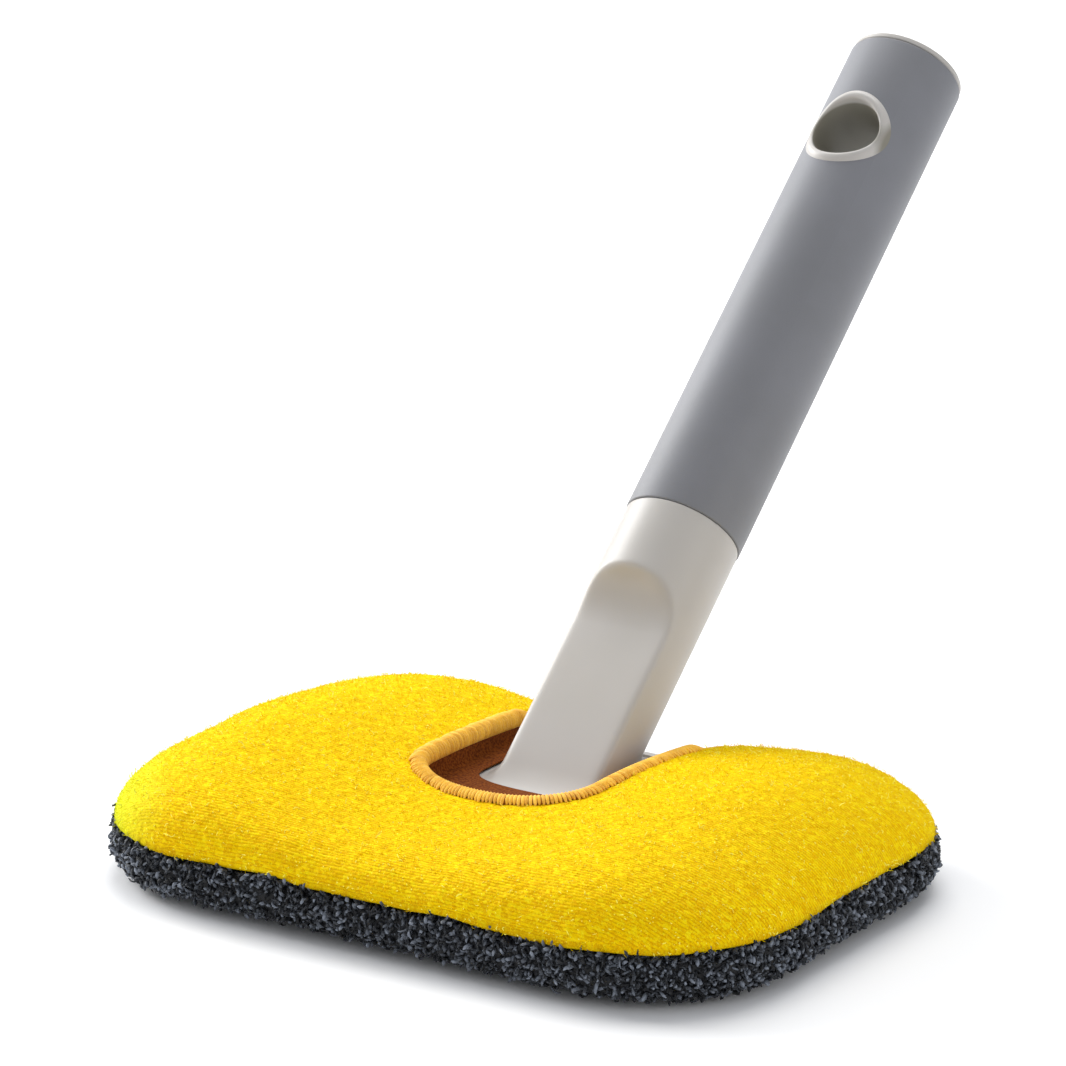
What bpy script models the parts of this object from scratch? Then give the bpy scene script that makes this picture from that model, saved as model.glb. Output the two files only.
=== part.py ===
"""Hand cleaning brush with a leaning round handle and a slip-on microfibre cover.

Metres, +Z up. The origin is the centre of the sole, on the floor. +X runs along
the head, and the handle leans towards +Y. The brush is symmetric about X = 0.
"""

import math

import bmesh
import bpy
from mathutils import Matrix, Vector

# Clearances and cutting allowances
GAP = 0.0003                # between pieces that touch
CUT_OVERRUN = 0.03          # how far a cutter runs past what it cuts
WELD_DISTANCE = 0.00001
FLAT_ANGLE = math.radians(0.2)
SMOOTH_ANGLE = math.radians(35)
BINDING_SMOOTH_ANGLE = math.radians(60)

# Cover: the seam between the yellow top and the grey base
SEAM_LENGTH = 0.1906
SEAM_WIDTH = 0.1388
SEAM_CORNER = 0.0387
SEAM_HEIGHT = 0.014

# Cover base: chenille sole and side wall
SOLE_THICKNESS = 0.0075
SOLE_FLAT_DEPTH = 0.0005    # the crushed pile under the brush
PILE_BULGE = 0.0022         # how far the side wall stands out past the seam
PILE_ROUND = 0.0055         # radius of the side wall's edges
PILE_EDGE_ANGLE = math.radians(60)
SIDE_WALL = 0.0085

# Cover top: height of the yellow top over the seam
TOP_CLOTH = 0.0026
SADDLE_LOFT = 0.0137
LOBE_LOFT = 0.0197
LOBE_OFFSET = 0.0665        # from the middle to where a lobe is full
LOBE_REACH = 0.0583         # how far a lobe takes to swell from the saddle
CREST_PLACE = 0.0029        # how far behind the middle the crest line lies
FRONT_DROP = 0.0036         # how much lower the loft is at the front edge
BACK_DROP = 0.0033
END_DROP = 0.0028
CROWN_POWER_SHARE = 8       # how late the top rounds over towards its front edge
BACK_POWER_SHARE = 4        # the same towards its back edge

# Opening in the top, seen from above: a U that is open at the back
NOTCH_FRONT = 0.0215        # from the middle to the front of the U
NOTCH_HALF_WIDTH = 0.0258   # at the end of the U's round front
NOTCH_ROUND = 0.0164        # length of the U's round front
NOTCH_FLARE = 0.0021        # how much each side opens out by the back edge
HEM_ROUND = 0.0120          # how far off its corner a side starts to turn into the hem
HEM_CLEARANCE = 0.0008      # under the binding, over the rim of the head plate
BINDING_RADIUS = 0.0018
BINDING_LEAD = 0.0005       # how far the binding stands out of the cloth's cut edge

# Head plate and the pocket that it slides out of
PLATE_LENGTH = 0.144
PLATE_WIDTH = 0.104
PLATE_CORNER = 0.028
PLATE_SET_BACK = 0.001
PLATE_THICKNESS = 0.0030
PLATE_RIM_HEIGHT = 0.0008
PLATE_RIM_WIDTH = 0.0022
PLATE_RIB_WIDTH = 0.0016
PLATE_RIB_SPACING = 0.024
PLATE_RIB_COUNT = 2         # on each side of the foot
POCKET_CLEARANCE = 0.0005

# Foam
FOAM_CLEARANCE = 0.0008
FOAM_PAD_INSET = 0.0006
FOAM_NOTCH_GROWTH = 0.0028

# Handle
HANDLE_LEAN = math.radians(42.1)    # of the axis, above the floor
HANDLE_FOOT_BACK = 0.0040           # where the axis is, at the foot height
HANDLE_FOOT_HEIGHT = 0.008
GRIP_RADIUS = 0.016
GRIP_START = 0.095                  # along the axis, from the foot
GRIP_END = 0.2477
GRIP_WALL = 0.0018
GRIP_STEP = 0.00025                 # the sleeve stands proud of the neck
TUBE_WALL = 0.0026
BORE_FLOOR = 0.100                  # where the tube's bore ends
SCOOP_DEPTH = 0.0091
SCOOP_TOP = 0.0745                  # where the scoop runs out
SCOOP_RUN_OUT_RADIUS = 0.0155
SCOOP_EDGE_ROUND = 0.0014
SCOOP_EDGE_ANGLE = math.radians(12)     # edges sharper than this are rounded
FOOT_FLANGE_LENGTH = 0.056
FOOT_FLANGE_WIDTH = 0.066
FOOT_FLANGE_CORNER = 0.020
FOOT_FLANGE_THICKNESS = 0.0024
FOOT_FILLET = 0.0040

# Hanging hole
HOLE_SET_BACK = 0.0304              # along the axis, from the grip's end
HOLE_RADIUS = 0.0093
EYELET_WALL = 0.0021
EYELET_LIP_HEIGHT = 0.0006

# End cap
CAP_DOME = 0.0030
CAP_EDGE = 0.0012
PLUG_LENGTH = 0.0075
PLUG_WALL = 0.0018

# Foot screws
SCREW_RADIUS = 0.0015
SCREW_HEAD_RADIUS = 0.0031
SCREW_HEAD_HEIGHT = 0.0017
SCREW_LENGTH = 0.0100
SCREW_FRONT = 0.0160                # behind the middle
SCREW_SPACING = 0.0150

# Facets
CORNER_STEPS = 10
CAP_STEPS = 5
ROUNDING_STEPS = 4
SCOOP_EDGE_STEPS = 2
FOOT_FILLET_STEPS = 3
ROUND_STEPS = 48
SMALL_ROUND_STEPS = 20
TOP_COLUMNS = 24
TOP_ROWS = 18
BINDING_POINTS = 14                 # along the hem and along each side of the U
BEND_STEPS = 6                      # where a side turns into the hem
SEARCH_STEPS = 30                   # halvings in the search for the hem's level line
EDGE_CROWDING_SHARE = 1.7           # grid lines gather towards the seam


# Derived sizes
pad_top = SEAM_HEIGHT + GAP
plate_base = pad_top + GAP
plate_top = plate_base + PLATE_THICKNESS
pocket_roof = plate_top + max(PLATE_RIM_HEIGHT, FOOT_FLANGE_THICKNESS + GAP) + POCKET_CLEARANCE
tube_radius = GRIP_RADIUS - GRIP_WALL - GAP
bore_radius = tube_radius - TUBE_WALL
neck_radius = GRIP_RADIUS - GRIP_STEP
eyelet_radius = HOLE_RADIUS + EYELET_WALL
hole_station = GRIP_END - HOLE_SET_BACK
handle_turn = HANDLE_LEAN - math.pi / 2
handle_origin = Vector((0, HANDLE_FOOT_BACK, HANDLE_FOOT_HEIGHT))
handle_matrix = Matrix.Translation(handle_origin) @ Matrix.Rotation(handle_turn, 4, "X")
mouth_half_length = PLATE_LENGTH / 2 + POCKET_CLEARANCE
rim_top = plate_top + PLATE_RIM_HEIGHT
hem_height = rim_top + HEM_CLEARANCE + BINDING_RADIUS + TOP_CLOTH / 2


# Scene and collections
for old in list(bpy.data.objects):
    bpy.data.objects.remove(old, do_unlink=True)

brush_parts = bpy.data.collections.new("cleaning_brush")
brush_cutters = bpy.data.collections.new("cleaning_brush_cutters")
for collection in (brush_parts, brush_cutters):
    bpy.context.scene.collection.children.link(collection)


def make_material(name, colour, roughness, metallic=0):
    material = bpy.data.materials.new(name)
    material.use_nodes = True
    shader = material.node_tree.nodes["Principled BSDF"]
    shader.inputs["Base Color"].default_value = (*colour, 1)
    shader.inputs["Roughness"].default_value = roughness
    shader.inputs["Metallic"].default_value = metallic
    return material


def link(obj, collection):
    for current in list(obj.users_collection):
        current.objects.unlink(obj)
    collection.objects.link(obj)


def as_part(obj, material, smooth_angle=SMOOTH_ANGLE):
    """A finished sub-part: its collection, its own material and its shading."""
    link(obj, brush_parts)
    obj.data.materials.clear()
    obj.data.materials.append(material)
    obj.data.shade_smooth()
    obj.data.set_sharp_from_angle(angle=smooth_angle)
    return obj


def as_cutter(obj):
    link(obj, brush_cutters)
    obj.hide_render = True
    obj.display_type = "WIRE"
    return obj


def object_from_bmesh(name, mesh_data):
    bmesh.ops.recalc_face_normals(mesh_data, faces=mesh_data.faces)
    mesh = bpy.data.meshes.new(name)
    mesh_data.to_mesh(mesh)
    mesh_data.free()
    obj = bpy.data.objects.new(name, mesh)
    brush_cutters.objects.link(obj)
    return obj


def mesh_from_curve(curve_obj):
    """The curve's evaluated mesh as a new object, with its caps welded on."""
    bpy.context.view_layer.update()
    evaluated = curve_obj.evaluated_get(bpy.context.evaluated_depsgraph_get())
    mesh = bpy.data.meshes.new_from_object(evaluated)
    name = curve_obj.name
    matrix = curve_obj.matrix_world.copy()
    bpy.data.objects.remove(curve_obj, do_unlink=True)
    welded = bmesh.new()
    welded.from_mesh(mesh)
    bmesh.ops.remove_doubles(welded, verts=welded.verts, dist=WELD_DISTANCE)
    bmesh.ops.dissolve_limit(
        welded, verts=welded.verts, edges=welded.edges, angle_limit=FLAT_ANGLE
    )
    obj = object_from_bmesh(name, welded)
    obj.matrix_world = matrix
    return obj


def slab(name, outline, low, high):
    """A flat outline, drawn as a 2D curve and extruded between two heights."""
    curve = bpy.data.curves.new(name, "CURVE")
    curve.dimensions = "2D"
    curve.fill_mode = "BOTH"
    curve.extrude = (high - low) / 2
    spline = curve.splines.new("POLY")
    spline.points.add(len(outline) - 1)
    for point, (x, y) in zip(spline.points, outline):
        point.co = (x, y, 0, 1)
    spline.use_cyclic_u = True
    obj = bpy.data.objects.new(name, curve)
    brush_cutters.objects.link(obj)
    obj.location.z = (low + high) / 2
    return mesh_from_curve(obj)


def tube(name, path, radius, resolution=2):
    """A round tube along a path, with filled ends."""
    curve = bpy.data.curves.new(name, "CURVE")
    curve.dimensions = "3D"
    curve.bevel_depth = radius
    curve.bevel_resolution = resolution
    curve.use_fill_caps = True
    spline = curve.splines.new("POLY")
    spline.points.add(len(path) - 1)
    for point, place in zip(spline.points, path):
        point.co = (*place, 1)
    obj = bpy.data.objects.new(name, curve)
    brush_cutters.objects.link(obj)
    return mesh_from_curve(obj)


def turned(name, profile, steps=ROUND_STEPS):
    """A profile of (radius, height) points, turned round Z from its top downwards."""
    profile_mesh = bpy.data.meshes.new(name)
    points = [(radius, 0, height) for radius, height in profile]
    edges = [(i, i + 1) for i in range(len(points) - 1)]
    profile_mesh.from_pydata(points, edges, [])
    obj = bpy.data.objects.new(name, profile_mesh)
    brush_cutters.objects.link(obj)
    screw = obj.modifiers.new("Turn", "SCREW")
    screw.axis = "Z"
    screw.steps = steps
    screw.render_steps = steps
    screw.use_merge_vertices = True
    screw.merge_threshold = WELD_DISTANCE
    return obj


def cylinder(name, radius, low, high, steps=ROUND_STEPS):
    shape = bmesh.new()
    bmesh.ops.create_cone(
        shape, cap_ends=True, segments=steps, radius1=radius, radius2=radius, depth=high - low
    )
    bmesh.ops.translate(shape, verts=shape.verts, vec=(0, 0, (low + high) / 2))
    return object_from_bmesh(name, shape)


def boolean(obj, other, operation="DIFFERENCE"):
    modifier = obj.modifiers.new(other.name, "BOOLEAN")
    modifier.operation = operation
    modifier.solver = "EXACT"
    modifier.object = other
    as_cutter(other)
    return modifier


def applied(obj):
    """The same object with its modifiers' result as its own mesh."""
    bpy.context.view_layer.update()
    evaluated = obj.evaluated_get(bpy.context.evaluated_depsgraph_get())
    mesh = bpy.data.meshes.new_from_object(evaluated)
    obj.modifiers.clear()
    shape = bmesh.new()
    shape.from_mesh(mesh)
    bmesh.ops.remove_doubles(shape, verts=shape.verts, dist=WELD_DISTANCE)
    bmesh.ops.dissolve_degenerate(shape, edges=shape.edges, dist=WELD_DISTANCE)
    shape.to_mesh(mesh)
    shape.free()
    obj.data = mesh
    return obj


def rounded_rectangle(half_length, half_width, corner, centre_y=0):
    """Outline points, each corner an arc."""
    points = []
    quarter = math.pi / 2
    corners = [
        (half_length - corner, half_width - corner, 0),
        (corner - half_length, half_width - corner, quarter),
        (corner - half_length, corner - half_width, 2 * quarter),
        (half_length - corner, corner - half_width, 3 * quarter),
    ]
    for centre_x, corner_y, start in corners:
        for step in range(CORNER_STEPS + 1):
            angle = start + quarter * step / CORNER_STEPS
            x = centre_x + corner * math.cos(angle)
            y = centre_y + corner_y + corner * math.sin(angle)
            points.append((x, y))
    return points


def cover_ratio(x, y, half_length, half_width, corner):
    """How far out a place lies: 0 in the middle, 1 on the rounded rectangle."""
    x = abs(x)
    y = abs(y)
    straight_x = half_length - corner
    straight_y = half_width - corner
    side = x / half_length
    if y <= side * straight_y:
        return side
    end = y / half_width
    if x <= end * straight_x:
        return end
    a = straight_x ** 2 + straight_y ** 2 - corner ** 2
    b = straight_x * x + straight_y * y
    c = x ** 2 + y ** 2
    root = math.sqrt(max(b * b - a * c, 0))
    return (b - root) / a if a else c / (2 * b)


def smooth_step(value):
    value = min(max(value, 0), 1)
    return value * value * (3 - 2 * value)


def top_height(x, y, inset=0):
    """Height of the yellow top, or of a surface that lies inset below it."""
    half_length = SEAM_LENGTH / 2 - inset
    half_width = SEAM_WIDTH / 2 - inset
    corner = SEAM_CORNER - inset
    ratio = min(cover_ratio(x, y, half_length, half_width, corner), 1)
    backward = smooth_step(y / half_width)
    power = CROWN_POWER_SHARE + (BACK_POWER_SHARE - CROWN_POWER_SHARE) * backward
    crown = math.sqrt(max(1 - ratio ** power, 0))
    lobe = smooth_step(1 - (LOBE_OFFSET - abs(x)) / LOBE_REACH)
    loft = SADDLE_LOFT + (LOBE_LOFT - SADDLE_LOFT) * lobe
    loft -= END_DROP * smooth_step((abs(x) - LOBE_OFFSET) / (half_length - LOBE_OFFSET))
    loft -= FRONT_DROP * smooth_step((CREST_PLACE - y) / (half_width + CREST_PLACE))
    loft -= BACK_DROP * smooth_step((y - CREST_PLACE) / (half_width - CREST_PLACE))
    return plate_base + GAP + crown * (loft - inset)


def top_surface(name, inset):
    """The crowned top as an open grid, mapped onto the rounded rectangle."""
    half_length = SEAM_LENGTH / 2 - inset
    half_width = SEAM_WIDTH / 2 - inset
    corner = SEAM_CORNER - inset
    grid = bmesh.new()
    bmesh.ops.create_grid(grid, x_segments=TOP_COLUMNS, y_segments=TOP_ROWS, size=1)
    for vertex in grid.verts:
        u, v, _ = vertex.co
        ring = max(abs(u), abs(v))
        if ring == 0:
            vertex.co = (0, 0, top_height(0, 0, inset))
            continue
        x, y = on_rounded_rectangle(u / ring, v / ring, half_length, half_width, corner)
        crowded = 1 - (1 - ring) ** EDGE_CROWDING_SHARE
        x *= crowded
        y *= crowded
        vertex.co = (x, y, top_height(x, y, inset))
    return grid


def on_rounded_rectangle(u, v, half_length, half_width, corner):
    """Carry a point on the edge of the unit square onto the rounded rectangle."""
    straight_u = 1 - corner / half_length
    straight_v = 1 - corner / half_width
    if abs(u) > straight_u and abs(v) > straight_v:
        if abs(u) >= abs(v):
            share = (abs(v) - straight_v) / (1 - straight_v)
            angle = math.pi / 4 * share
        else:
            share = (abs(u) - straight_u) / (1 - straight_u)
            angle = math.pi / 2 - math.pi / 4 * share
        x = half_length - corner + corner * math.cos(angle)
        y = half_width - corner + corner * math.sin(angle)
        return math.copysign(x, u), math.copysign(y, v)
    return u * half_length, v * half_width


def notch_half_width(y, growth=0):
    """Half the opening's width at a place behind the U's round front."""
    round_end = NOTCH_ROUND - NOTCH_FRONT
    opened = (y - round_end) / (SEAM_WIDTH / 2 - round_end)
    return NOTCH_HALF_WIDTH + growth + NOTCH_FLARE * opened ** 2


def hem_place(x, growth=0):
    """Where the top's surface comes down to the hem's height, behind the middle."""
    near = 0
    far = SEAM_WIDTH / 2
    for _ in range(SEARCH_STEPS):
        middle = (near + far) / 2
        if top_height(x, middle) > hem_height:
            near = middle
        else:
            far = middle
    return near - growth


def notch_side(hem_end, growth=0):
    """One side of the opening: along the hem, round its bend, then down the U."""
    round_end = NOTCH_ROUND - NOTCH_FRONT
    corner_y = hem_place(NOTCH_HALF_WIDTH, growth)
    corner_x = notch_half_width(corner_y, growth)
    bend = HEM_ROUND - growth
    hem_start = corner_x + bend
    side_end = corner_y - bend
    side = []
    for step in range(BINDING_POINTS):
        x = hem_end + (hem_start - hem_end) * step / BINDING_POINTS
        side.append((x, hem_place(x, growth)))
    off_hem = Vector((hem_start, hem_place(hem_start, growth)))
    corner = Vector((corner_x, corner_y))
    on_side = Vector((notch_half_width(side_end, growth), side_end))
    for step in range(BEND_STEPS):
        turn = step / BEND_STEPS
        place = off_hem.lerp(corner, turn).lerp(corner.lerp(on_side, turn), turn)
        side.append(tuple(place))
    for step in range(BINDING_POINTS):
        y = side_end + (round_end - side_end) * step / BINDING_POINTS
        side.append((notch_half_width(y, growth), y))
    for step in range(CORNER_STEPS + 1):
        angle = math.pi / 2 * step / CORNER_STEPS
        x = (NOTCH_HALF_WIDTH + growth) * math.cos(angle)
        y = round_end - (NOTCH_ROUND + growth) * math.sin(angle)
        side.append((x, y))
    return side


def mirrored(side):
    return side + [(-place[0], *place[1:]) for place in reversed(side) if place[0] > WELD_DISTANCE]


def opening_cutter(name, growth):
    """The U and, behind the hem, the mouth that the head plate slides out of."""
    mouth = [(mouth_half_length, SEAM_WIDTH / 2 + CUT_OVERRUN)]
    mouth += notch_side(mouth_half_length, growth)
    return slab(name, mirrored(mouth), 0, plate_base + LOBE_LOFT + CUT_OVERRUN)


def pocket_cutter(name):
    """The space that the head plate fills and slides out of, open at the back."""
    grown = POCKET_CLEARANCE
    half_width = PLATE_WIDTH / 2 + grown
    corner = PLATE_CORNER + grown
    around = rounded_rectangle(mouth_half_length, half_width, corner, PLATE_SET_BACK)
    front = [(x, y) for x, y in around if y < PLATE_SET_BACK]
    back = SEAM_WIDTH / 2 + CUT_OVERRUN * 2
    outline = [(-mouth_half_length, back)] + front + [(mouth_half_length, back)]
    return slab(name, outline, SOLE_THICKNESS, pocket_roof)


def binding_path():
    """Along the hem and round the U, in the middle of the cloth's thickness."""
    side = notch_side(PLATE_LENGTH / 2 - GAP, -BINDING_LEAD)
    return mirrored([(x, y, top_height(x, y) - TOP_CLOTH / 2) for x, y in side])


def cut_below(name, height):
    reach = SEAM_LENGTH
    outline = [(-reach, -reach), (reach, -reach), (reach, reach), (-reach, reach)]
    return slab(name, outline, height - reach, height)


# Cover
def build_cover_base(material):
    half_length = SEAM_LENGTH / 2 + PILE_BULGE
    half_width = SEAM_WIDTH / 2 + PILE_BULGE
    corner = SEAM_CORNER + PILE_BULGE
    outline = rounded_rectangle(half_length, half_width, corner)
    base = slab("cover_base", outline, -SOLE_FLAT_DEPTH, SEAM_HEIGHT)
    rounding = base.modifiers.new("Pile round", "BEVEL")
    rounding.width = PILE_ROUND
    rounding.segments = ROUNDING_STEPS
    rounding.limit_method = "ANGLE"
    rounding.angle_limit = PILE_EDGE_ANGLE
    rounding.use_clamp_overlap = False
    wall = SIDE_WALL + PILE_BULGE
    well = slab(
        "base_well",
        rounded_rectangle(half_length - wall, half_width - wall, corner - wall),
        SOLE_THICKNESS,
        SEAM_HEIGHT + CUT_OVERRUN,
    )
    boolean(base, well)
    boolean(base, cut_below("floor_cut", 0))
    return as_part(base, material)


def dome(name, inset, bottom):
    """A closed solid under the crowned top, flat below."""
    form = top_surface(name, inset)
    under = bmesh.ops.extrude_face_region(form, geom=form.faces[:])
    for item in under["geom"]:
        if isinstance(item, bmesh.types.BMVert):
            item.co.z = bottom
    return object_from_bmesh(name, form)


def build_cover_top(material):
    shell = dome("cover_top", 0, SEAM_HEIGHT + GAP)
    boolean(shell, dome("top_inside", TOP_CLOTH, SEAM_HEIGHT - TOP_CLOTH))
    boolean(shell, opening_cutter("top_opening", BINDING_RADIUS + GAP))
    return as_part(shell, material)


def build_foam_lobes(material):
    foam = dome("foam_lobes", TOP_CLOTH + FOAM_CLEARANCE, plate_base)
    boolean(foam, opening_cutter("foam_opening", FOAM_NOTCH_GROWTH))
    boolean(foam, pocket_cutter("foam_pocket"))
    return as_part(foam, material)


def build_foam_pad(material):
    inset = SIDE_WALL + FOAM_PAD_INSET
    outline = rounded_rectangle(
        SEAM_LENGTH / 2 - inset, SEAM_WIDTH / 2 - inset, SEAM_CORNER - inset
    )
    return as_part(slab("foam_pad", outline, SOLE_THICKNESS + GAP, pad_top), material)


def build_binding(material):
    binding = tube("opening_binding", binding_path(), BINDING_RADIUS)
    return as_part(binding, material, BINDING_SMOOTH_ANGLE)


# Head and handle
def build_head_plate(material):
    half_length = PLATE_LENGTH / 2
    half_width = PLATE_WIDTH / 2
    outline = rounded_rectangle(half_length, half_width, PLATE_CORNER, PLATE_SET_BACK)
    plate = slab("head_plate", outline, plate_base, rim_top)
    inner = rounded_rectangle(
        half_length - PLATE_RIM_WIDTH,
        half_width - PLATE_RIM_WIDTH,
        PLATE_CORNER - PLATE_RIM_WIDTH,
        PLATE_SET_BACK,
    )
    boolean(plate, slab("plate_tray", inner, plate_top, plate_top + CUT_OVERRUN))
    for side in (-1, 1):
        for step in range(PLATE_RIB_COUNT):
            middle = FOOT_FLANGE_LENGTH / 2 + PLATE_RIB_SPACING * (step + 1) / 2
            low_x = side * middle - PLATE_RIB_WIDTH / 2
            high_x = side * middle + PLATE_RIB_WIDTH / 2
            reach = half_width - PLATE_RIM_WIDTH / 2
            rib = slab(
                "plate_rib",
                [
                    (low_x, PLATE_SET_BACK - reach),
                    (high_x, PLATE_SET_BACK - reach),
                    (high_x, PLATE_SET_BACK + reach),
                    (low_x, PLATE_SET_BACK + reach),
                ],
                plate_top - PLATE_THICKNESS / 2,
                rim_top,
            )
            boolean(plate, rib, "UNION")
    for name, place in screw_places():
        boolean(plate, screw_clearance(name + "_plate_hole", place))
    return as_part(plate, material)


def screw_places():
    return [
        ("foot_screw_front", SCREW_FRONT),
        ("foot_screw_back", SCREW_FRONT + SCREW_SPACING),
    ]


def screw_clearance(name, place):
    hole = turned(name, screw_cut_profile(), SMALL_ROUND_STEPS)
    hole.location = (0, place, 0)
    return hole


def screw_cut_profile():
    """The screw grown by the gap, and run out past the plate's underside."""
    shaft = SCREW_RADIUS + GAP
    head = SCREW_HEAD_RADIUS + GAP
    return [
        (0, plate_base + SCREW_LENGTH + GAP),
        (shaft, plate_base + SCREW_LENGTH + GAP),
        (shaft, plate_base + SCREW_HEAD_HEIGHT + GAP),
        (head, plate_base + GAP * 2),
        (head, plate_base - CUT_OVERRUN),
        (0, plate_base - CUT_OVERRUN),
    ]


def build_screw(name, place, material):
    profile = [
        (0, plate_base + SCREW_LENGTH),
        (SCREW_RADIUS - GAP, plate_base + SCREW_LENGTH),
        (SCREW_RADIUS, plate_base + SCREW_LENGTH - GAP * 2),
        (SCREW_RADIUS, plate_base + SCREW_HEAD_HEIGHT),
        (SCREW_HEAD_RADIUS, plate_base + GAP * 2),
        (SCREW_HEAD_RADIUS, plate_base + GAP),
        (0, plate_base + GAP),
    ]
    screw = turned(name, profile, SMALL_ROUND_STEPS)
    screw.location = (0, place, 0)
    return as_part(screw, material)


def scoop_cutter():
    """The thumb scoop's side outline, flat below and curving out at the top."""
    flat = GRIP_RADIUS - SCOOP_DEPTH
    run = math.sqrt(SCOOP_RUN_OUT_RADIUS ** 2 - (SCOOP_RUN_OUT_RADIUS - SCOOP_DEPTH) ** 2)
    bend = SCOOP_TOP - run
    outline = [(-flat, -CUT_OVERRUN)]
    last = math.acos(1 - SCOOP_DEPTH / SCOOP_RUN_OUT_RADIUS)
    for step in range(CORNER_STEPS + 1):
        angle = last * step / CORNER_STEPS
        depth = flat + SCOOP_RUN_OUT_RADIUS * (1 - math.cos(angle))
        outline.append((-depth, bend + SCOOP_RUN_OUT_RADIUS * math.sin(angle)))
    tip_out = (-(GRIP_RADIUS + SCOOP_DEPTH), SCOOP_TOP + SCOOP_DEPTH / math.tan(last))
    outline.append(tip_out)
    outline.append((-(GRIP_RADIUS + SCOOP_DEPTH), -CUT_OVERRUN))
    cutter = slab("neck_scoop", outline, -GRIP_RADIUS * 2, GRIP_RADIUS * 2)
    stand_up = Matrix(((0, 0, 1, 0), (1, 0, 0, 0), (0, 1, 0, 0), (0, 0, 0, 1)))
    cutter.data.transform(stand_up)
    cutter.matrix_world = handle_matrix
    return cutter


def across_handle(name, radius, reach):
    """A cylinder on the hanging hole's axis."""
    bar = cylinder(name, radius, -reach, reach)
    bar.data.transform(Matrix.Rotation(math.pi / 2, 4, "X"))
    bar.data.transform(Matrix.Translation((0, 0, hole_station)))
    bar.matrix_world = handle_matrix
    return bar


def build_handle_core(material):
    profile = [
        (0, GRIP_END),
        (tube_radius, GRIP_END),
        (tube_radius, GRIP_START),
        (neck_radius, GRIP_START),
        (neck_radius, -GRIP_RADIUS * 2),
        (0, -GRIP_RADIUS * 2),
    ]
    core = turned("handle_core", profile)
    core.matrix_world = handle_matrix
    boolean(core, scoop_cutter())
    applied(core)
    round_scoop_edges(core)
    foot_top = plate_top + GAP + FOOT_FLANGE_THICKNESS
    boolean(core, cut_below("foot_cut", plate_top + GAP))
    foot_middle = HANDLE_FOOT_BACK + (plate_top - HANDLE_FOOT_HEIGHT) / math.tan(HANDLE_LEAN)
    outline = rounded_rectangle(
        FOOT_FLANGE_LENGTH / 2, FOOT_FLANGE_WIDTH / 2, FOOT_FLANGE_CORNER, foot_middle
    )
    boolean(core, slab("foot_flange", outline, plate_top + GAP, foot_top), "UNION")
    boolean(core, foot_skirt("foot_skirt", foot_top), "UNION")
    applied(core)
    bore = cylinder("tube_bore", bore_radius, BORE_FLOOR, GRIP_END + CUT_OVERRUN)
    bore.matrix_world = handle_matrix
    boolean(core, bore)
    boolean(core, across_handle("core_hole", eyelet_radius + GAP, GRIP_RADIUS * 2))
    for name, place in screw_places():
        boolean(core, screw_clearance(name + "_foot_hole", place))
    return as_part(core, material)


def round_scoop_edges(core):
    """Soft edges where the scoop meets the round of the neck."""
    shape = bmesh.new()
    shape.from_mesh(core.data)
    edges = []
    for edge in shape.edges:
        if len(edge.link_faces) != 2 or edge.calc_face_angle(0) < SCOOP_EDGE_ANGLE:
            continue
        middle = (edge.verts[0].co + edge.verts[1].co) / 2
        in_scoop = middle.y < -(GRIP_RADIUS - SCOOP_DEPTH) + WELD_DISTANCE
        along_neck = -GRIP_RADIUS < middle.z < SCOOP_TOP + GRIP_STEP
        if in_scoop and along_neck:
            edges.append(edge)
    bmesh.ops.bevel(
        shape, geom=edges, offset=SCOOP_EDGE_ROUND, segments=SCOOP_EDGE_STEPS, profile=0.5,
        affect="EDGES", clamp_overlap=True,
    )
    shape.to_mesh(core.data)
    shape.free()


def neck_section(height, growth):
    """The neck cut level at a height and grown outwards, from one end of its flat."""
    flat = GRIP_RADIUS - SCOOP_DEPTH
    start = -math.asin(flat / neck_radius)
    outline = []
    for step in range(ROUND_STEPS + 1):
        angle = start + (math.pi - start * 2) * step / ROUND_STEPS
        back = neck_radius * math.sin(angle)
        along = (height - HANDLE_FOOT_HEIGHT - back * math.sin(handle_turn)) / math.cos(handle_turn)
        outline.append((handle_matrix @ Vector((neck_radius * math.cos(angle), back, along))).xy)
    section = []
    for step, place in enumerate(outline):
        before = place - outline[step - 1]
        after = outline[(step + 1) % len(outline)] - place
        first = Vector((before.y, -before.x)).normalized()
        second = Vector((after.y, -after.x)).normalized()
        grown = place + (first + second) * growth / (1 + first.dot(second))
        section.append((grown.x, grown.y, height))
    return section


def foot_skirt(name, foot_top):
    """The neck's flare at its foot: level sections of it, joined up."""
    levels = []
    for step in range(FOOT_FILLET_STEPS + 1):
        turn = math.pi / 2 * step / FOOT_FILLET_STEPS
        height = foot_top + FOOT_FILLET - (FOOT_FILLET + GAP) * math.cos(turn)
        levels.append((height, FOOT_FILLET * (1 - math.sin(turn)) - GAP))
    shape = bmesh.new()
    rings = []
    for height, growth in levels:
        ring = [shape.verts.new(place) for place in neck_section(height, growth)]
        rings.append([shape.edges.new((ring[step - 1], ring[step])) for step in range(len(ring))])
    for lower, upper in zip(rings, rings[1:]):
        bmesh.ops.bridge_loops(shape, edges=lower + upper)
    for end in (rings[0], rings[-1]):
        bmesh.ops.contextual_create(shape, geom=end)
    return object_from_bmesh(name, shape)


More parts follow.
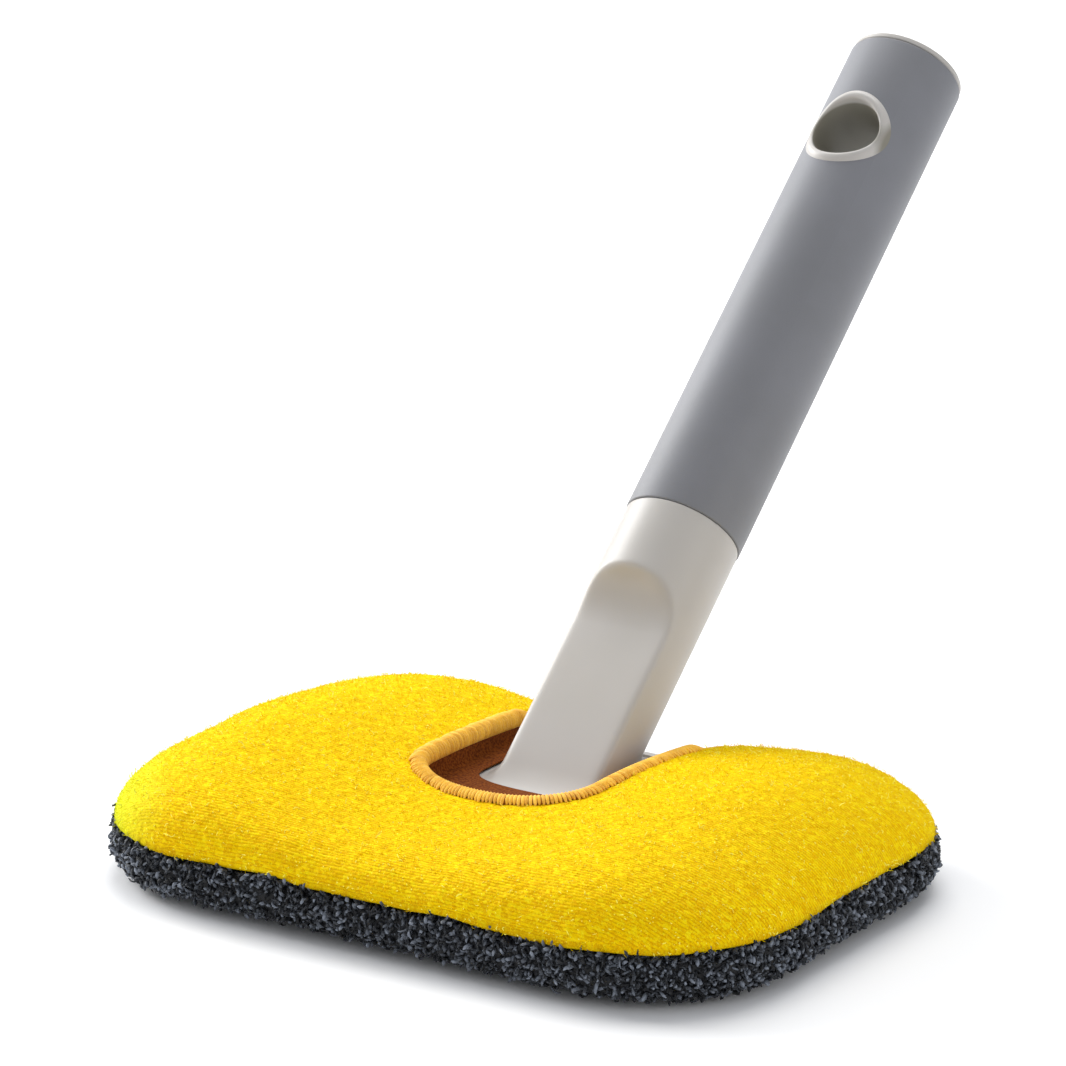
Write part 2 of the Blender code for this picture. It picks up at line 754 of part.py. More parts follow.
def build_grip_sleeve(material):
    inner = tube_radius + GAP
    start = GRIP_START + GAP
    edge = GRIP_STEP
    profile = [
        (inner, GRIP_END),
        (GRIP_RADIUS - edge, GRIP_END),
        (GRIP_RADIUS, GRIP_END - edge),
        (GRIP_RADIUS, start + edge),
        (GRIP_RADIUS - edge, start),
        (inner, start),
        (inner, GRIP_END),
    ]
    sleeve = turned("grip_sleeve", profile)
    sleeve.matrix_world = handle_matrix
    boolean(sleeve, across_handle("sleeve_hole", eyelet_radius + GAP, GRIP_RADIUS * 2))
    return as_part(sleeve, material)


def build_hang_eyelet(material):
    reach = GRIP_RADIUS + EYELET_LIP_HEIGHT
    eyelet = cylinder("hang_eyelet", reach, hole_station - GRIP_RADIUS, hole_station + GRIP_RADIUS)
    eyelet.matrix_world = handle_matrix
    boolean(eyelet, across_handle("eyelet_outside", eyelet_radius, GRIP_RADIUS * 2), "INTERSECT")
    boolean(eyelet, across_handle("eyelet_bore", HOLE_RADIUS, GRIP_RADIUS * 2))
    return as_part(eyelet, material)


def build_end_cap(material):
    seat = GRIP_END + GAP
    rim = GRIP_RADIUS - GAP
    plug = bore_radius - GAP
    crown = [(0, seat + CAP_DOME)]
    for step in range(1, CAP_STEPS + 1):
        angle = math.pi / 2 * step / CAP_STEPS
        radius = rim * math.sin(angle)
        crown.append((radius, seat + CAP_EDGE + (CAP_DOME - CAP_EDGE) * math.cos(angle)))
    profile = crown + [
        (rim, seat),
        (plug, seat),
        (plug, seat - PLUG_LENGTH),
        (plug - PLUG_WALL, seat - PLUG_LENGTH),
        (plug - PLUG_WALL, seat),
        (0, seat),
    ]
    cap = turned("end_cap", profile)
    cap.matrix_world = handle_matrix
    return as_part(cap, material)


yellow = make_material("Yellow microfibre", (0.95, 0.72, 0.02), 0.85)
charcoal = make_material("Charcoal chenille", (0.07, 0.08, 0.10), 0.95)
amber = make_material("Amber overlock thread", (0.80, 0.42, 0.10), 0.80)
white_foam = make_material("Polyurethane foam", (0.85, 0.82, 0.70), 0.95)
off_white_tube = make_material("Off-white moulded handle", (0.70, 0.68, 0.63), 0.38)
off_white_plate = make_material("Off-white moulded plate", (0.70, 0.68, 0.63), 0.45)
off_white_trim = make_material("Off-white moulded trim", (0.72, 0.70, 0.65), 0.32)
grey_grip = make_material("Grey soft-touch rubber", (0.17, 0.175, 0.185), 0.62)
screw_steel = make_material("Zinc-plated steel", (0.55, 0.55, 0.55), 0.35, 1)

build_cover_base(charcoal)
build_cover_top(yellow)
build_foam_lobes(white_foam)
build_foam_pad(white_foam)
build_binding(amber)
build_head_plate(off_white_plate)
for screw_name, screw_place in screw_places():
    build_screw(screw_name, screw_place, screw_steel)
build_handle_core(off_white_tube)
build_grip_sleeve(grey_grip)
build_hang_eyelet(off_white_trim)
build_end_cap(off_white_trim)
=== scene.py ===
import math

import bmesh
import bpy
import numpy as np
from mathutils import Matrix, Vector


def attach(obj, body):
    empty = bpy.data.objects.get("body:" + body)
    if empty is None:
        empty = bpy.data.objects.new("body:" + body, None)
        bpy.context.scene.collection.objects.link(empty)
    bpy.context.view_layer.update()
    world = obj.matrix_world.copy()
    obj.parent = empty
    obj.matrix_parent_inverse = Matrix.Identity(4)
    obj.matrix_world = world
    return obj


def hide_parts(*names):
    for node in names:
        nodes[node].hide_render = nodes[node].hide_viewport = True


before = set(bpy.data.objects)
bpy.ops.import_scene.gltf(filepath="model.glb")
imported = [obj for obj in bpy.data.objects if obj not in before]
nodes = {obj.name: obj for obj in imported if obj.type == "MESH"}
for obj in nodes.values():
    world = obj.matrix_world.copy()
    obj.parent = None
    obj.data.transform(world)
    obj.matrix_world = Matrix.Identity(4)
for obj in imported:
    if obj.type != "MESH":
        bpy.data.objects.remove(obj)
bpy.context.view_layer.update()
print("frame loaded:", len(nodes), "nodes")


# small helpers

def newObject(name, data):
    obj = bpy.data.objects.new(name, data)
    bpy.context.scene.collection.objects.link(obj)
    return obj


def startFresh():
    if bpy.context.mode != "OBJECT":
        bpy.ops.object.mode_set(mode="OBJECT")
    bpy.ops.object.select_all(action="DESELECT")


def makeActive(obj):
    startFresh()
    obj.select_set(True)
    bpy.context.view_layer.objects.active = obj


def editMesh(obj, *steps):
    # runs the steps in edit mode, with the whole mesh selected
    makeActive(obj)
    bpy.ops.object.mode_set(mode="EDIT")
    bpy.ops.mesh.select_all(action="SELECT")
    for step in steps:
        step()
    bpy.ops.object.mode_set(mode="OBJECT")


def turnOutward():
    bpy.ops.mesh.normals_make_consistent(inside=False)


def bevelWhere(obj, test, offset, segments):
    # rounds the edges that pass the test
    def bevelChosen():
        bpy.ops.mesh.select_mode(type="EDGE")
        shape = bmesh.from_edit_mesh(obj.data)
        for edge in shape.edges:
            edge.select_set(bool(test(edge)))
        bmesh.update_edit_mesh(obj.data)
        bpy.ops.mesh.bevel(offset=offset, segments=segments, affect="EDGES", clamp_overlap=False)

    editMesh(obj, bevelChosen)


def modify(obj, kind, **settings):
    # adds a modifier and applies it
    modifier = obj.modifiers.new(kind, kind)
    for name, value in settings.items():
        setattr(modifier, name, value)
    makeActive(obj)
    bpy.ops.object.modifier_apply(modifier=modifier.name)


def bakePlace(obj):
    makeActive(obj)
    bpy.ops.object.transform_apply(location=True, rotation=True, scale=True)


def colour(hexCode):
    # sRGB hex to the linear colour that a shader wants
    parts = [int(hexCode[i:i + 2], 16) / 255 for i in (1, 3, 5)]
    return (*(c / 12.92 if c <= 0.04045 else ((c + 0.055) / 1.055) ** 2.4 for c in parts), 1)


def setInputs(node, inputs):
    # an input is a value, a hex colour, or another node's output to link
    for name, value in inputs.items():
        if isinstance(value, bpy.types.NodeSocket):
            node.id_data.links.new(value, node.inputs[name])
        else:
            node.inputs[name].default_value = colour(value) if isinstance(value, str) else value


def addNode(material, kind, settings, inputs):
    # a node with its settings and links; what comes back is its outputs
    node = material.node_tree.nodes.new("ShaderNode" + kind)
    for name, value in settings.items():
        setattr(node, name, value)
    setInputs(node, inputs)
    return node.outputs


def newMaterial(name, shading, *noises):
    # the material, and the noises that it reads, each given as its scale and detail
    material = bpy.data.materials.new(name)
    material.use_nodes = True
    setInputs(material.node_tree.nodes["Principled BSDF"], shading)
    place = addNode(material, "TexCoord", {"name": "place"}, {})["Object"]
    made = [material]
    for scale, detail in noises:
        made += addNode(material, "TexNoise", {}, {"Vector": place, "Scale": scale, "Detail": detail})[:1]
    return made


def placeIn(material):
    return material.node_tree.nodes["place"].outputs["Object"]


def toneIn(material):
    # the value that shadeOf gave to each point
    return addNode(material, "Attribute", {"attribute_name": "tone"}, {})["Fac"]


def layered(material, base, layers):
    # colours laid over a base; the share of each runs from least to most between low and high
    for reads, low, high, least, most, over in layers:
        share = addNode(material, "MapRange", {}, {0: reads, 1: low, 2: high, 3: least, 4: most})[0]
        base = addNode(material, "Mix", {"data_type": "RGBA"}, {0: share, 6: base, 7: over})[2]
    return base


def finishLook(material, base, layers, relief=None, strength=0, depth=0, rough=None):
    # the colour, a relief too fine to model, and a roughness that runs from smooth to dull
    inputs = {"Base Color": layered(material, base, layers)}
    if relief is not None:
        bump = {"Strength": strength, "Distance": depth, "Height": relief}
        inputs["Normal"] = addNode(material, "Bump", {}, bump)[0]
    if rough is not None:
        reads, smooth, dull = rough
        span = {0: reads, 1: 0.3, 2: 0.7, 3: smooth, 4: dull}
        inputs["Roughness"] = addNode(material, "MapRange", {}, span)[0]
    setInputs(material.node_tree.nodes["Principled BSDF"], inputs)
    return material


def meshPiece(name, points, faces):
    # one object from arrays of points and equal-sided faces
    mesh = bpy.data.meshes.new(name)
    points = np.asarray(points, float).reshape(-1, 3)
    count, sides = faces.shape
    mesh.vertices.add(len(points))
    mesh.vertices.foreach_set("co", points.ravel())
    mesh.loops.add(faces.size)
    mesh.loops.foreach_set("vertex_index", faces.ravel())
    mesh.polygons.add(count)
    mesh.polygons.foreach_set("loop_start", np.arange(0, faces.size, sides))
    mesh.polygons.foreach_set("loop_total", np.full(count, sides))
    mesh.update(calc_edges=True)
    mesh.validate()
    return newObject(name, mesh)


def readPoints(obj, kind="co"):
    values = np.zeros(len(obj.data.vertices) * 3)
    obj.data.vertices.foreach_get(kind, values)
    return values.reshape(-1, 3)


def movePoints(obj, points):
    obj.data.vertices.foreach_set("co", points.ravel())
    obj.data.update()


def gridFaces(rows, columns, closedAround=False, closedOver=False):
    # four-sided faces over rows of points
    index = np.arange(rows * columns).reshape(rows, columns)
    if closedAround:
        index = np.concatenate([index, index[:, :1]], 1)
    if closedOver:
        index = np.concatenate([index, index[:1]])
    return np.stack([index[:-1, :-1], index[:-1, 1:], index[1:, 1:], index[1:, :-1]], -1).reshape(-1, 4)


def ringedPiece(name, rings, otherWay=False, cutEnds=False):
    # closed rows of points joined into a skin, with both ends filled and, if asked, cut to triangles
    rows, columns = rings.shape[:2]
    faces = gridFaces(rows, columns, closedAround=True)
    piece = meshPiece(name, rings, faces[:, [0, 3, 2, 1]] if otherWay else faces)
    shape = bmesh.new()
    shape.from_mesh(piece.data)
    shape.verts.ensure_lookup_table()
    last = (rows - 1) * columns
    for end in (range(columns), reversed(range(last, last + columns))):
        shape.faces.new([shape.verts[i] for i in end])
    if cutEnds:
        bmesh.ops.triangulate(shape, faces=[f for f in shape.faces if len(f.verts) > 4])
    bmesh.ops.recalc_face_normals(shape, faces=shape.faces)
    shape.to_mesh(piece.data)
    shape.free()
    return piece


def shadeOf(obj, perPoint):
    # a value per point that the material reads for its change of tone
    layer = obj.data.attributes.new("tone", "FLOAT", "POINT")
    layer.data.foreach_set("value", np.asarray(perPoint, float).ravel())


def finish(obj, body, material, angle):
    obj.data.materials.clear()
    obj.data.materials.append(material)
    makeActive(obj)
    bpy.ops.object.shade_smooth_by_angle(angle=math.radians(angle))
    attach(obj, body)


def rowsOf(*parts):
    # points from their x, y and z, where one number may stand for a whole column
    return np.stack(np.broadcast_arrays(*parts), -1)


def ease(value):
    value = np.clip(value, 0, 1)
    return value * value * (3 - 2 * value)


def unit(vectors):
    return vectors / np.maximum(np.linalg.norm(vectors, axis=-1, keepdims=True), 1e-12)


def turnsOf(count):
    # angles that divide a full turn evenly
    return np.arange(count) * 2 * math.pi / count


# camera, light and floor

studio = {
    "cameraPlace": (0.65456, -0.98602, 0.42836),
    "cameraTarget": (-0.02917, 0.04857, 0.07315),
    "lens": 168.86, "sensor": 36,           # mm
    "worldStrength": 0.49, "worldColour": "#F6F9FF",
    "floorSize": 14.0, "floorColour": "#FBFBFB",
    "lightTarget": (0, 0.03, 0.06),
    "boxes": [
        # name, place, size, watts
        ("backBox", (-0.40, 1.00, 1.60), 1.6, 30.0),
        ("leftBox", (-1.30, 0.10, 0.60), 0.9, 23.0),
        ("frontFill", (0.30, -1.60, 1.10), 1.3, 2.4),
        ("rightFill", (1.45, -0.10, 0.45), 0.8, 4.4),
    ],
}


def aimed(name, data, place, target):
    # a camera or a light that points at a target
    obj = newObject(name, data)
    obj.location = place
    obj.rotation_euler = (Vector(target) - Vector(place)).to_track_quat("-Z", "Y").to_euler()
    return obj


def buildStudio(spec):
    scene = bpy.context.scene
    lens = bpy.data.cameras.new("camera")
    lens.sensor_fit = "HORIZONTAL"
    lens.sensor_width = spec["sensor"]
    lens.lens = spec["lens"]
    lens.clip_end = 50
    scene.camera = aimed("camera", lens, spec["cameraPlace"], spec["cameraTarget"])
    scene.view_settings.view_transform = "Standard"
    scene.world = bpy.data.worlds.new("studio")
    scene.world.use_nodes = True
    setInputs(
        scene.world.node_tree.nodes["Background"],
        {"Color": spec["worldColour"], "Strength": spec["worldStrength"]},
    )
    for name, place, size, watts in spec["boxes"]:
        light = bpy.data.lights.new(name, "AREA")
        light.size = size
        light.energy = watts
        aimed(name, light, place, spec["lightTarget"])
    startFresh()
    bpy.ops.mesh.primitive_plane_add(size=spec["floorSize"], location=(0, 0, 0))
    floor = bpy.context.object
    floor.name = "studioFloor"
    # Matt paper sweep, coated: even and pale, with almost no gloss
    paper = {"Base Color": spec["floorColour"], "Roughness": 0.9, "Specular IOR Level": 0.1}
    floor.data.materials.append(newMaterial("paperSweep", paper)[0])


buildStudio(studio)
print("studio ready")


# materials

def paintedLimeGlow(material):
    # painted light: the cloth is tinted lime towards the front left corner, standing in for light that comes
    # through the cloth there
    corner = {0: placeIn(material), 1: (-0.83, -0.56, 0.30)}
    towards = addNode(material, "VectorMath", {"operation": "DOT_PRODUCT"}, corner)["Value"]
    return towards, 0.095, 0.108, 0, 0.6, "#CBE62C"


def makeMicrofibre():
    # Polyester microfibre, warp knitted: golden stitches 1.2 mm long in courses 0.88 mm apart,
    # each of its own brightness, with a lemon bloom where the cloth turns away; painted shade near the seam
    # and a painted lime glow towards the front left corner
    material, fuzz, clump = newMaterial(
        "warpKnitMicrofibre",
        {
            "Roughness": 0.7, "Specular IOR Level": 0.03,
            "Sheen Weight": 0.3, "Sheen Roughness": 0.35, "Sheen Tint": "#DCFF00",
        },
        (2400, 2), (130, 3),
    )
    cloth = addNode(material, "UVMap", {"uv_map": "knit"}, {})[0]
    # the map counts 100 mm as 1
    grid = addNode(material, "Mapping", {}, {"Vector": cloth, "Scale": (100 / 1.2, 100 / 0.88, 1)})[0]
    cells = {"Vector": grid, "Scale": 1, "Randomness": 0.75}
    stitch = addNode(material, "TexVoronoi", {"voronoi_dimensions": "2D"}, cells)
    chance = addNode(material, "SeparateColor", {}, {"Color": stitch["Color"]})[0]
    course = addNode(material, "SeparateXYZ", {}, {"Vector": grid})[1]
    height = addNode(material, "SeparateXYZ", {}, {"Vector": placeIn(material)})[2]
    phase = addNode(material, "Math", {"operation": "MULTIPLY"}, {0: course, 1: 2 * math.pi})[0]
    line = addNode(material, "Math", {"operation": "SINE"}, {0: phase})[0]
    ridge = addNode(material, "Math", {"operation": "MULTIPLY_ADD"}, {0: line, 1: 0.25, 2: fuzz})[0]
    relief = addNode(material, "Math", {"operation": "SUBTRACT"}, {0: ridge, 1: stitch["Distance"]})[0]
    return finishLook(material, "#E7B300", [
        (chance, 0.0, 0.7, 0, 1, "#F5CE00"),
        (line, -1.0, -0.1, 0.55, 0, "#BE8000"),
        (chance, 0.8, 0.95, 0, 0.6, "#FAE00E"),
        (fuzz, 0.55, 0.68, 0, 0.8, "#FCEC28"),
        (clump, 0.35, 0.75, 0, 0.2, "#E8B000"),
        # painted shade: darker towards the seam, where the cloth's edge turns down into shadow
        (height, 0.0168, 0.0142, 0, 0.5, "#8E6200"),
        paintedLimeGlow(material),
    ], relief, 0.5, 0.0003)


def makeNap():
    # Split polyester filaments of the nap: bright, half-glossy ends of their own tones, with a painted
    # highlight on the glints and a painted lime glow towards the front left corner
    shading = {"Roughness": 0.5, "Specular IOR Level": 0.03, "Sheen Weight": 0.3, "Sheen Tint": "#DCFF00"}
    material = newMaterial("microfibreFilament", shading)[0]
    tone = toneIn(material)
    return finishLook(material, "#E5B200", [
        (tone, 0.0, 0.5, 0, 1, "#F5CE00"), (tone, 0.5, 0.88, 0, 1, "#FAE410"),
        (tone, 0.98, 1.0, 0, 1, "#FFF566"), paintedLimeGlow(material),
    ])


def makeChenille():
    # Chenille microfibre yarn, cut and curled: charcoal, each curl of its own tone, near black between the
    # curls and at their roots as painted shade, paler on their crowns, partly their own tone and partly a
    # painted blue-grey highlight
    material, fuzz = newMaterial(
        "chenilleYarn",
        {
            "Roughness": 0.5, "Specular IOR Level": 0.35,
            "Sheen Weight": 0.08, "Sheen Roughness": 0.3, "Sheen Tint": "#C9D2E0",
        },
        (2600, 2),
    )
    tone = toneIn(material)
    # the lowest tones, on the base body and on the curls' roots, are painted shade
    dark = layered(material, "#020203", [(tone, 0.0, 0.42, 0, 1, "#1B1E23")])
    crown = layered(material, dark, [
        (tone, 0.42, 0.95, 0, 1, "#858C98"), (fuzz, 0.5, 0.75, 0, 0.5, "#8B929E"),
    ])
    return finishLook(material, dark, [(tone, 0.0, 0.35, 0, 1, crown)], fuzz, 0.9, 0.0003)


def makeThread():
    # Spun polyester overlock thread: soft amber with a twisted, slightly hairy surface
    shading = {"Roughness": 0.7, "Specular IOR Level": 0.12, "Sheen Weight": 0.1}
    material, ply = newMaterial("overlockThread", shading, (1900, 2))
    return finishLook(material, "#B8640A", [
        (toneIn(material), 0, 1, 0, 1, "#FFC846"), (ply, 0.4, 0.7, 0, 0.35, "#FFD978"),
    ], ply, 0.6, 0.0002)


def makeTricot():
    # Brushed nylon tricot: dull, with a faint weave; its dark amber brown is painted shade with amber bounce
    # light deep in the pocket
    shading = {"Roughness": 0.9, "Specular IOR Level": 0.15}
    material, weave = newMaterial("brushedTricot", shading, (1700, 2))
    return finishLook(material, "#5C2806", [(weave, 0.35, 0.65, 0, 1, "#8A4A14")], weave, 0.5, 0.0002)


def makeFoam():
    # Open-cell polyurethane foam, die cut: porous, with cells about 1 mm across; its brown is painted shade
    # with amber bounce light from the cloth around it
    material, patch = newMaterial("cutPolyurethaneFoam", {"Roughness": 0.95}, (220, 3))
    cells = addNode(material, "TexVoronoi", {}, {"Vector": placeIn(material), "Scale": 900})[0]
    return finishLook(material, "#4A2812", [
        (cells, 0.1, 0.6, 0, 1, "#7A4A26"), (patch, 0.4, 0.7, 0, 0.4, "#8A5A34"),
    ], cells, 0.8, 0.0006)


def makePlastic(name="mouldedAbs", boreMiddle=None):
    # ABS, injection moulded, off-white: satin, with a faint spark-eroded skin; the bore of the
    # eyelet is darker within a distance of its middle, where little light comes
    material, flow, skin = newMaterial(
        name, {"IOR": 1.53, "Subsurface Weight": 0.08, "Subsurface Radius": (0.0012, 0.0010, 0.0008)},
        (30, 2), (3800, 2),
    )
    layers = [(flow, 0.35, 0.65, 0, 1, "#B7B3AE")]
    if boreMiddle is not None:
        ends = {0: placeIn(material), 1: boreMiddle}
        away = addNode(material, "VectorMath", {"operation": "DISTANCE"}, ends)["Value"]
        layers.append((away, 0.01710, 0.01638, 0, 1, "#807C70"))
    return finishLook(material, "#B3AFA9", layers, skin, 0.12, 0.00005, (skin, 0.38, 0.48))


def makeRubber():
    # Thermoplastic elastomer, overmoulded: mid grey, matt and velvety, with a fine blasted grain
    material, grain, bloom = newMaterial(
        "softTouchElastomer", {"IOR": 1.5, "Sheen Weight": 0.12}, (3200, 3), (45, 3)
    )
    layers = [(bloom, 0.35, 0.65, 0, 1, "#76777C")]
    return finishLook(material, "#727377", layers, grain, 0.25, 0.00008, (grain, 0.50, 0.62))


def makeSteel():
    # Zinc-plated screw steel, barrel finished: bright, with a mottled satin
    material, mottle = newMaterial("zincPlatedSteel", {"Metallic": 1.0}, (1500, 3))
    layers = [(mottle, 0, 1, 0, 1, "#C6C8CA")]
    return finishLook(material, "#A9ABAD", layers, rough=(mottle, 0.26, 0.42))


microfibre = makeMicrofibre()
nap = makeNap()
chenille = makeChenille()
thread = makeThread()
tricot = makeTricot()
foam = makeFoam()
plastic = makePlastic()
rubber = makeRubber()
steel = makeSteel()
for name, material in {"head_plate": plastic, "foot_screw_front": steel, "foot_screw_back": steel}.items():
    nodes[name].data.materials.clear()
    nodes[name].data.materials.append(material)
print("materials ready")


# the form of the cover, the same as in the part's source

cover = {
    "halfLength": 0.0953, "halfWidth": 0.0694, "corner": 0.0387,
    "seamHeight": 0.0143, "base": 0.0149,
    "saddleLoft": 0.0137,       # rise of the crown in the middle
    "lobeLoft": 0.0197, "lobeOffset": 0.0665, "lobeReach": 0.0583,
    "crest": 0.0029, "frontDrop": 0.0036, "backDrop": 0.0033, "endDrop": 0.0028,
    "frontPower": 8.0, "backPower": 4.0,    # higher stays level for longer before it turns down
    "notchFront": 0.0215, "notchHalf": 0.0258, "notchRound": 0.0164, "notchFlare": 0.0021,
    "hemHeight": 0.0223, "hemRound": 0.0120, "mouthHalf": 0.0725, "endRound": 0.0018,
    "hemStart": 0.036, "hemRamp": 0.008,    # where the edge of the U turns into the hem
    "mouthStart": 0.050, "mouthRamp": 0.008, "mouthSide": 0.072, "mouthSideRamp": 0.010,
}


def onHem(y):
    # 0 on the edge of the U, 1 along the hem
    return ease((y - cover["hemStart"]) / cover["hemRamp"])


def atMouth(x, y):
    # 1 at the back, where the cover is open, and 0 elsewhere
    back = ease((y - cover["mouthStart"]) / cover["mouthRamp"])
    return back * ease((cover["mouthSide"] - np.abs(x)) / cover["mouthSideRamp"])


def coverRatio(x, y):
    # 0 in the middle, 1 on the seam
    halfLength, halfWidth, corner = cover["halfLength"], cover["halfWidth"], cover["corner"]
    x, y = np.abs(x), np.abs(y)
    straightX, straightY = halfLength - corner, halfWidth - corner
    side, end = x / halfLength, y / halfWidth
    a = straightX ** 2 + straightY ** 2 - corner ** 2
    b = straightX * x + straightY * y
    c = x ** 2 + y ** 2
    turn = (b - np.sqrt(np.maximum(b * b - a * c, 0))) / a
    return np.where(y <= side * straightY, side, np.where(x <= end * straightX, end, turn))


def topHeight(x, y):
    x, y = np.asarray(x, float), np.asarray(y, float)
    halfWidth, crest, offset = cover["halfWidth"], cover["crest"], cover["lobeOffset"]
    ratio = np.minimum(coverRatio(x, y), 1)
    power = cover["frontPower"] + (cover["backPower"] - cover["frontPower"]) * ease(y / halfWidth)
    lobe = ease(1 - (offset - np.abs(x)) / cover["lobeReach"])
    loft = (
        cover["saddleLoft"] + (cover["lobeLoft"] - cover["saddleLoft"]) * lobe
        - cover["endDrop"] * ease((np.abs(x) - offset) / (cover["halfLength"] - offset))
        - cover["frontDrop"] * ease((crest - y) / (halfWidth + crest))
        - cover["backDrop"] * ease((y - crest) / (halfWidth - crest))
    )
    return cover["base"] + np.sqrt(np.maximum(1 - ratio ** power, 0)) * loft


def topNormal(x, y, step=0.0004):
    slopeX = (topHeight(x + step, y) - topHeight(x - step, y)) / (2 * step)
    slopeY = (topHeight(x, y + step) - topHeight(x, y - step)) / (2 * step)
    return unit(rowsOf(-slopeX, -slopeY, 1))


def seamPoint(share, grow=0.0):
    # points of the rounded rectangle and their outward directions, at shares of the way round
    # from the left end of the front side, anticlockwise from above
    corner = cover["corner"] + grow
    insetX, insetY = cover["halfLength"] - cover["corner"], cover["halfWidth"] - cover["corner"]
    arc = corner * math.pi / 2
    around = np.mod(share, 1) * (4 * insetX + 4 * insetY + 4 * arc)
    found = [np.zeros_like(around)] * 4
    start = 0.0
    for quarter, (signX, signY) in enumerate([(1, -1), (1, 1), (-1, 1), (-1, -1)]):
        # the straight run up to the corner, then the corner
        straight = 2 * (insetY if quarter % 2 else insetX)
        along = around - start
        turn = (quarter - 1) * math.pi / 2 + np.maximum(along - straight, 0) / corner
        before = np.maximum(straight - along, 0)
        outX, outY = np.cos(turn), np.sin(turn)
        x = signX * insetX + corner * outX + before * outY
        y = signY * insetY + corner * outY - before * outX
        here = (along >= 0) & (along < straight + arc)
        found = [np.where(here, new, old) for new, old in zip((x, y, outX, outY), found)]
        start += straight + arc
    return found


def hemPlace(x):
    # where the top comes down to the hem, behind the middle
    near, far = np.zeros_like(x), np.full_like(x, cover["halfWidth"])
    for _ in range(30):
        middle = (near + far) / 2
        above = topHeight(x, middle) > cover["hemHeight"]
        near, far = np.where(above, middle, near), np.where(above, far, middle)
    return near


def openingEdge(grow, pitch=0.0008):
    # the edge of the opening from the right end of the hem, round the U, to the left end,
    # set into the cloth by grow: drawn in parts, then spaced evenly
    notchRound, corner = cover["notchRound"], cover["corner"]
    roundEnd = notchRound - cover["notchFront"]

    def halfAt(y):
        opened = (y - roundEnd) / (cover["halfWidth"] - roundEnd)
        return cover["notchHalf"] + grow + cover["notchFlare"] * opened ** 2

    def onSide(y):
        return rowsOf(halfAt(y), y)

    bend = cover["hemRound"] - grow
    meetY = float(hemPlace(np.array([cover["notchHalf"]]))[0]) - grow
    meet = onSide(meetY)
    endX = cover["mouthHalf"] + cover["endRound"] + grow
    endY = float(hemPlace(np.array([endX]))[0])
    seamY = cover["halfWidth"] - corner + math.sqrt(corner ** 2 - (endX - cover["halfLength"] + corner) ** 2)
    down = rowsOf(endX, endY + (seamY - endY) * (1 - np.linspace(0.2, 0.98, 24) ** 2))
    hemX = np.linspace(cover["mouthHalf"] - cover["endRound"], meet[0] + bend, 60)
    hem = rowsOf(hemX, hemPlace(hemX) - grow)
    share = np.linspace(0, 1, 16)[1:, None]
    first = hem[-1] + (meet - hem[-1]) * share
    second = meet + (onSide(meetY - bend) - meet) * share
    turned = first + (second - first) * share
    side = onSide(np.linspace(meetY - bend, roundEnd, 40)[1:])
    angle = np.linspace(0, math.pi / 2, 24)[1:]
    frontX = (cover["notchHalf"] + grow) * np.cos(angle)
    front = rowsOf(frontX, roundEnd - (notchRound + grow) * np.sin(angle))
    half = np.concatenate([down, hem, turned, side, front])
    whole = np.concatenate([half, half[-2::-1] * [-1, 1]])
    heights = topHeight(whole[:, 0], whole[:, 1])
    steps = np.hypot(np.linalg.norm(np.diff(whole, axis=0), axis=1), np.diff(heights))
    reach = np.concatenate([[0], np.cumsum(steps)])
    even = np.linspace(0, reach[-1], max(2, int(reach[-1] / pitch)))
    return rowsOf(*(np.interp(even, reach, part) for part in whole.T))


def insideOutline(x, y, outline):
    # even-odd test of many points against one closed outline
    inside = np.zeros(x.shape, bool)
    nextPoint = np.roll(outline, -1, axis=0)
    for (ax, ay), (bx, by) in zip(outline, nextPoint):
        if ay != by:
            crosses = (ay > y) != (by > y)
            inside ^= crosses & (x < (bx - ax) * (y - ay) / (by - ay) + ax)
    return inside


def fineNoise(points, size, seed):
    # smooth value noise over points in metres, -1 to 1, with features of that size
    table = np.random.default_rng(seed).uniform(-1, 1, 4096)
    cell = points / size
    low = np.floor(cell).astype(int)
    part = cell - low
    part = part * part * (3 - 2 * part)
    total = np.zeros(len(points))
    for corner in np.ndindex(2, 2, 2):
        # large primes spread the cells over the table
        key = (low + corner) * (73856093, 19349663, 83492791)
        key = key[:, 0] ^ key[:, 1] ^ key[:, 2]
        total += table[key & 4095] * np.where(corner, part, 1 - part).prod(1)
    return total


# yellow top of the cover

yellowTop = {
    "columns": 80, "rows": 60,
    "spread": 1.7,              # higher puts more rows near the seam
    "edgeGrow": 0.0004,         # the cloth's cut edge, tucked into the binding
    "sink": 0.0004,             # the ground of the cloth lies under the ends of its nap
    "thickness": 0.0019,
    "unevenness": 0.0005, "swellSize": 0.024,           # slow swells over the lobes
    "pile": 0.00016, "clumpSizes": (0.0016, 0.0008),    # clumps of the nap
    "seamWave": 0.0007,         # how far the seam wanders up and down
    # its waves: share, waves round the cover, start
    "seamWaves": [(0.5, 9, 0.6), (0.3, 16, 2.1), (0.2, 27, 4.0)],
}


